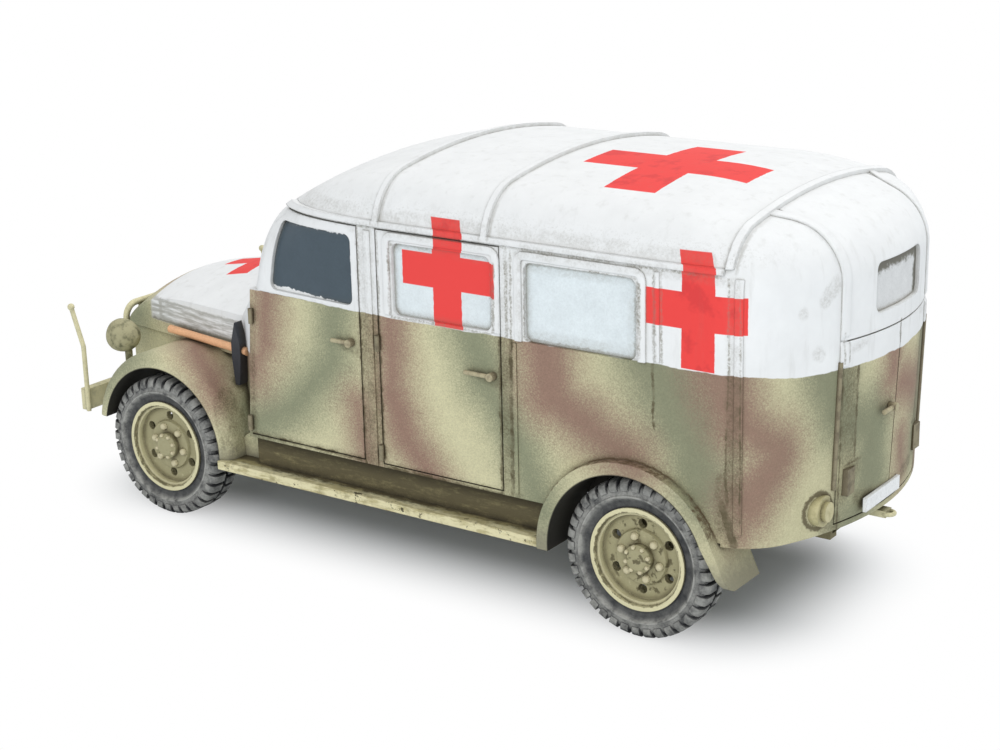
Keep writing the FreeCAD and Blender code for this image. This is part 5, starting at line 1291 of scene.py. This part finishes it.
class AMBULANCE_OT_stage(bpy.types.Operator):
    """Adds the camera, the pale floor and the soft lights"""

    bl_idname = "ambulance.stage"
    bl_label = "Set Stage"

    def execute(self, context):
        settings = context.scene.ambulance_stage
        self.add_camera(context.scene, settings)
        self.add_floor(settings)
        self.add_lights(settings)
        self.set_world(context.scene, settings)
        context.scene.view_settings.view_transform = "Standard"
        return {"FINISHED"}

    def add_camera(self, scene, settings):
        """The camera, level but for its roll."""
        data = bpy.data.cameras.new("camera")
        data.lens = settings.lens
        data.sensor_width = SENSOR_WIDTH
        data.clip_start = MM
        camera = place_object("camera", data)
        place, aim = at(*CAMERA_PLACE), at(*CAMERA_AIM)
        ahead = (aim - place).normalized()
        right = ahead.cross(Vector((0, 0, 1))).normalized()
        level = Matrix((right, right.cross(ahead), -ahead)).transposed()
        rolled = level @ Matrix.Rotation(math.radians(settings.roll), 3, "Z")
        camera.matrix_world = Matrix.Translation(place) @ rolled.to_4x4()
        scene.camera = camera

    def add_floor(self, settings):
        """The sheet under the model."""
        half = settings.floor_size / 2
        mesh = bpy.data.meshes.new("floor_sheet")
        signs = ((-1, -1), (1, -1), (1, 1), (-1, 1))
        mesh.from_pydata([(x * half, y * half, -FLOOR_DROP * MM) for x, y in signs], [], [(0, 1, 2, 3)])
        mesh.materials.append(self.floor_material())
        floor = place_object("floor_sheet", mesh)

    def floor_material(self):
        """White paper: it takes the shadow near the model and fades to plain white away from it."""
        graph = Coats("floor_paper")
        shader, surface = graph.shader, graph.tree.nodes["Material Output"].inputs["Surface"]
        shader.inputs["Base Color"].default_value = PAPER
        shader.inputs["Roughness"].default_value = 0.9
        shader.inputs["Specular IOR Level"].default_value = 0.1
        x, y, _ = graph.parts(graph.place)
        middle, half_length, half_width = FOOTPRINT
        beside = graph.high(abs(y) - half_width, 0.0)
        beyond = graph.high(abs(x - middle) - half_length, 0.0)
        fade = graph.length(beside, beyond).step(1.0, 13.0)
        shown = graph.seen_directly("Is Camera Ray", "Is Glossy Ray", "Is Transmission Ray")
        glow = graph.wire("ShaderNodeEmission", {"Color": WHITE, "Strength": 1.0})
        feeds = {0: fade * shown, 1: Wire(graph, shader.outputs[0]), 2: glow}
        graph.feed(surface, graph.wire("ShaderNodeMixShader", feeds))
        return graph.material

    def add_lights(self, settings):
        """The soft boxes, turned to where the camera looks."""
        for name, power, place, side in LIGHTS:
            data = bpy.data.lights.new(name, "AREA")
            data.energy = getattr(settings, power)
            data.size = side
            lamp = place_object(name, data)
            lamp.location = at(*place)
            toward = at(*CAMERA_AIM) - lamp.location
            lamp.rotation_mode = "QUATERNION"
            lamp.rotation_quaternion = toward.to_track_quat("-Z", "Y")

    def set_world(self, scene, settings):
        """Even light all round, plain white to the camera."""
        world = bpy.data.worlds.new("studio")
        scene.world = world
        world.use_nodes = True
        graph = Graph(world.node_tree)
        back = world.node_tree.nodes["Background"]
        shown = graph.seen_directly("Is Camera Ray", "Is Glossy Ray")
        back.inputs["Color"].default_value = WHITE
        graph.feed(back.inputs["Strength"], shown * (1.0 - settings.sky) + settings.sky)


# --- panel
class AMBULANCE_PT_sidebar(bpy.types.Panel):
    """Lists the settings and the pieces of the ambulance model"""

    bl_idname = "AMBULANCE_PT_sidebar"
    bl_label = "Ambulance Model"
    bl_space_type = "VIEW_3D"
    bl_region_type = "UI"
    bl_category = "Ambulance"

    def draw(self, context):
        for group, _ in GROUPS:
            settings = getattr(context.scene, group)
            column = self.layout.column(align=True)
            for name in settings.bl_rna.properties.keys():
                if name not in {"rna_type", "name"}:
                    column.prop(settings, name)
        for operator in OPERATORS:
            self.layout.operator(operator.bl_idname)


GROUPS = (
    ("ambulance_paints", AmbulancePaints),
    ("ambulance_livery", AmbulanceLivery),
    ("ambulance_wheels", AmbulanceWheels),
    ("ambulance_trim", AmbulanceTrim),
    ("ambulance_stage", AmbulanceStage),
)
OPERATORS = (
    AMBULANCE_OT_paint,
    AMBULANCE_OT_tyres,
    AMBULANCE_OT_wheel_nuts,
    AMBULANCE_OT_mouldings,
    AMBULANCE_OT_splash_plates,
    AMBULANCE_OT_stage,
)


def register():
    for name, group in GROUPS:
        bpy.utils.register_class(group)
        setattr(bpy.types.Scene, name, PointerProperty(type=group))
    for operator in OPERATORS:
        bpy.utils.register_class(operator)
    bpy.utils.register_class(AMBULANCE_PT_sidebar)


def unregister():
    bpy.utils.unregister_class(AMBULANCE_PT_sidebar)
    for operator in reversed(OPERATORS):
        bpy.utils.unregister_class(operator)
    for name, group in reversed(GROUPS):
        delattr(bpy.types.Scene, name)
        bpy.utils.unregister_class(group)


def main():
    register()
    bpy.ops.ambulance.paint()
    bpy.ops.ambulance.tyres()
    bpy.ops.ambulance.wheel_nuts()
    bpy.ops.ambulance.mouldings()
    bpy.ops.ambulance.splash_plates()
    bpy.ops.ambulance.stage()


if __name__ == "__main__":
    main()
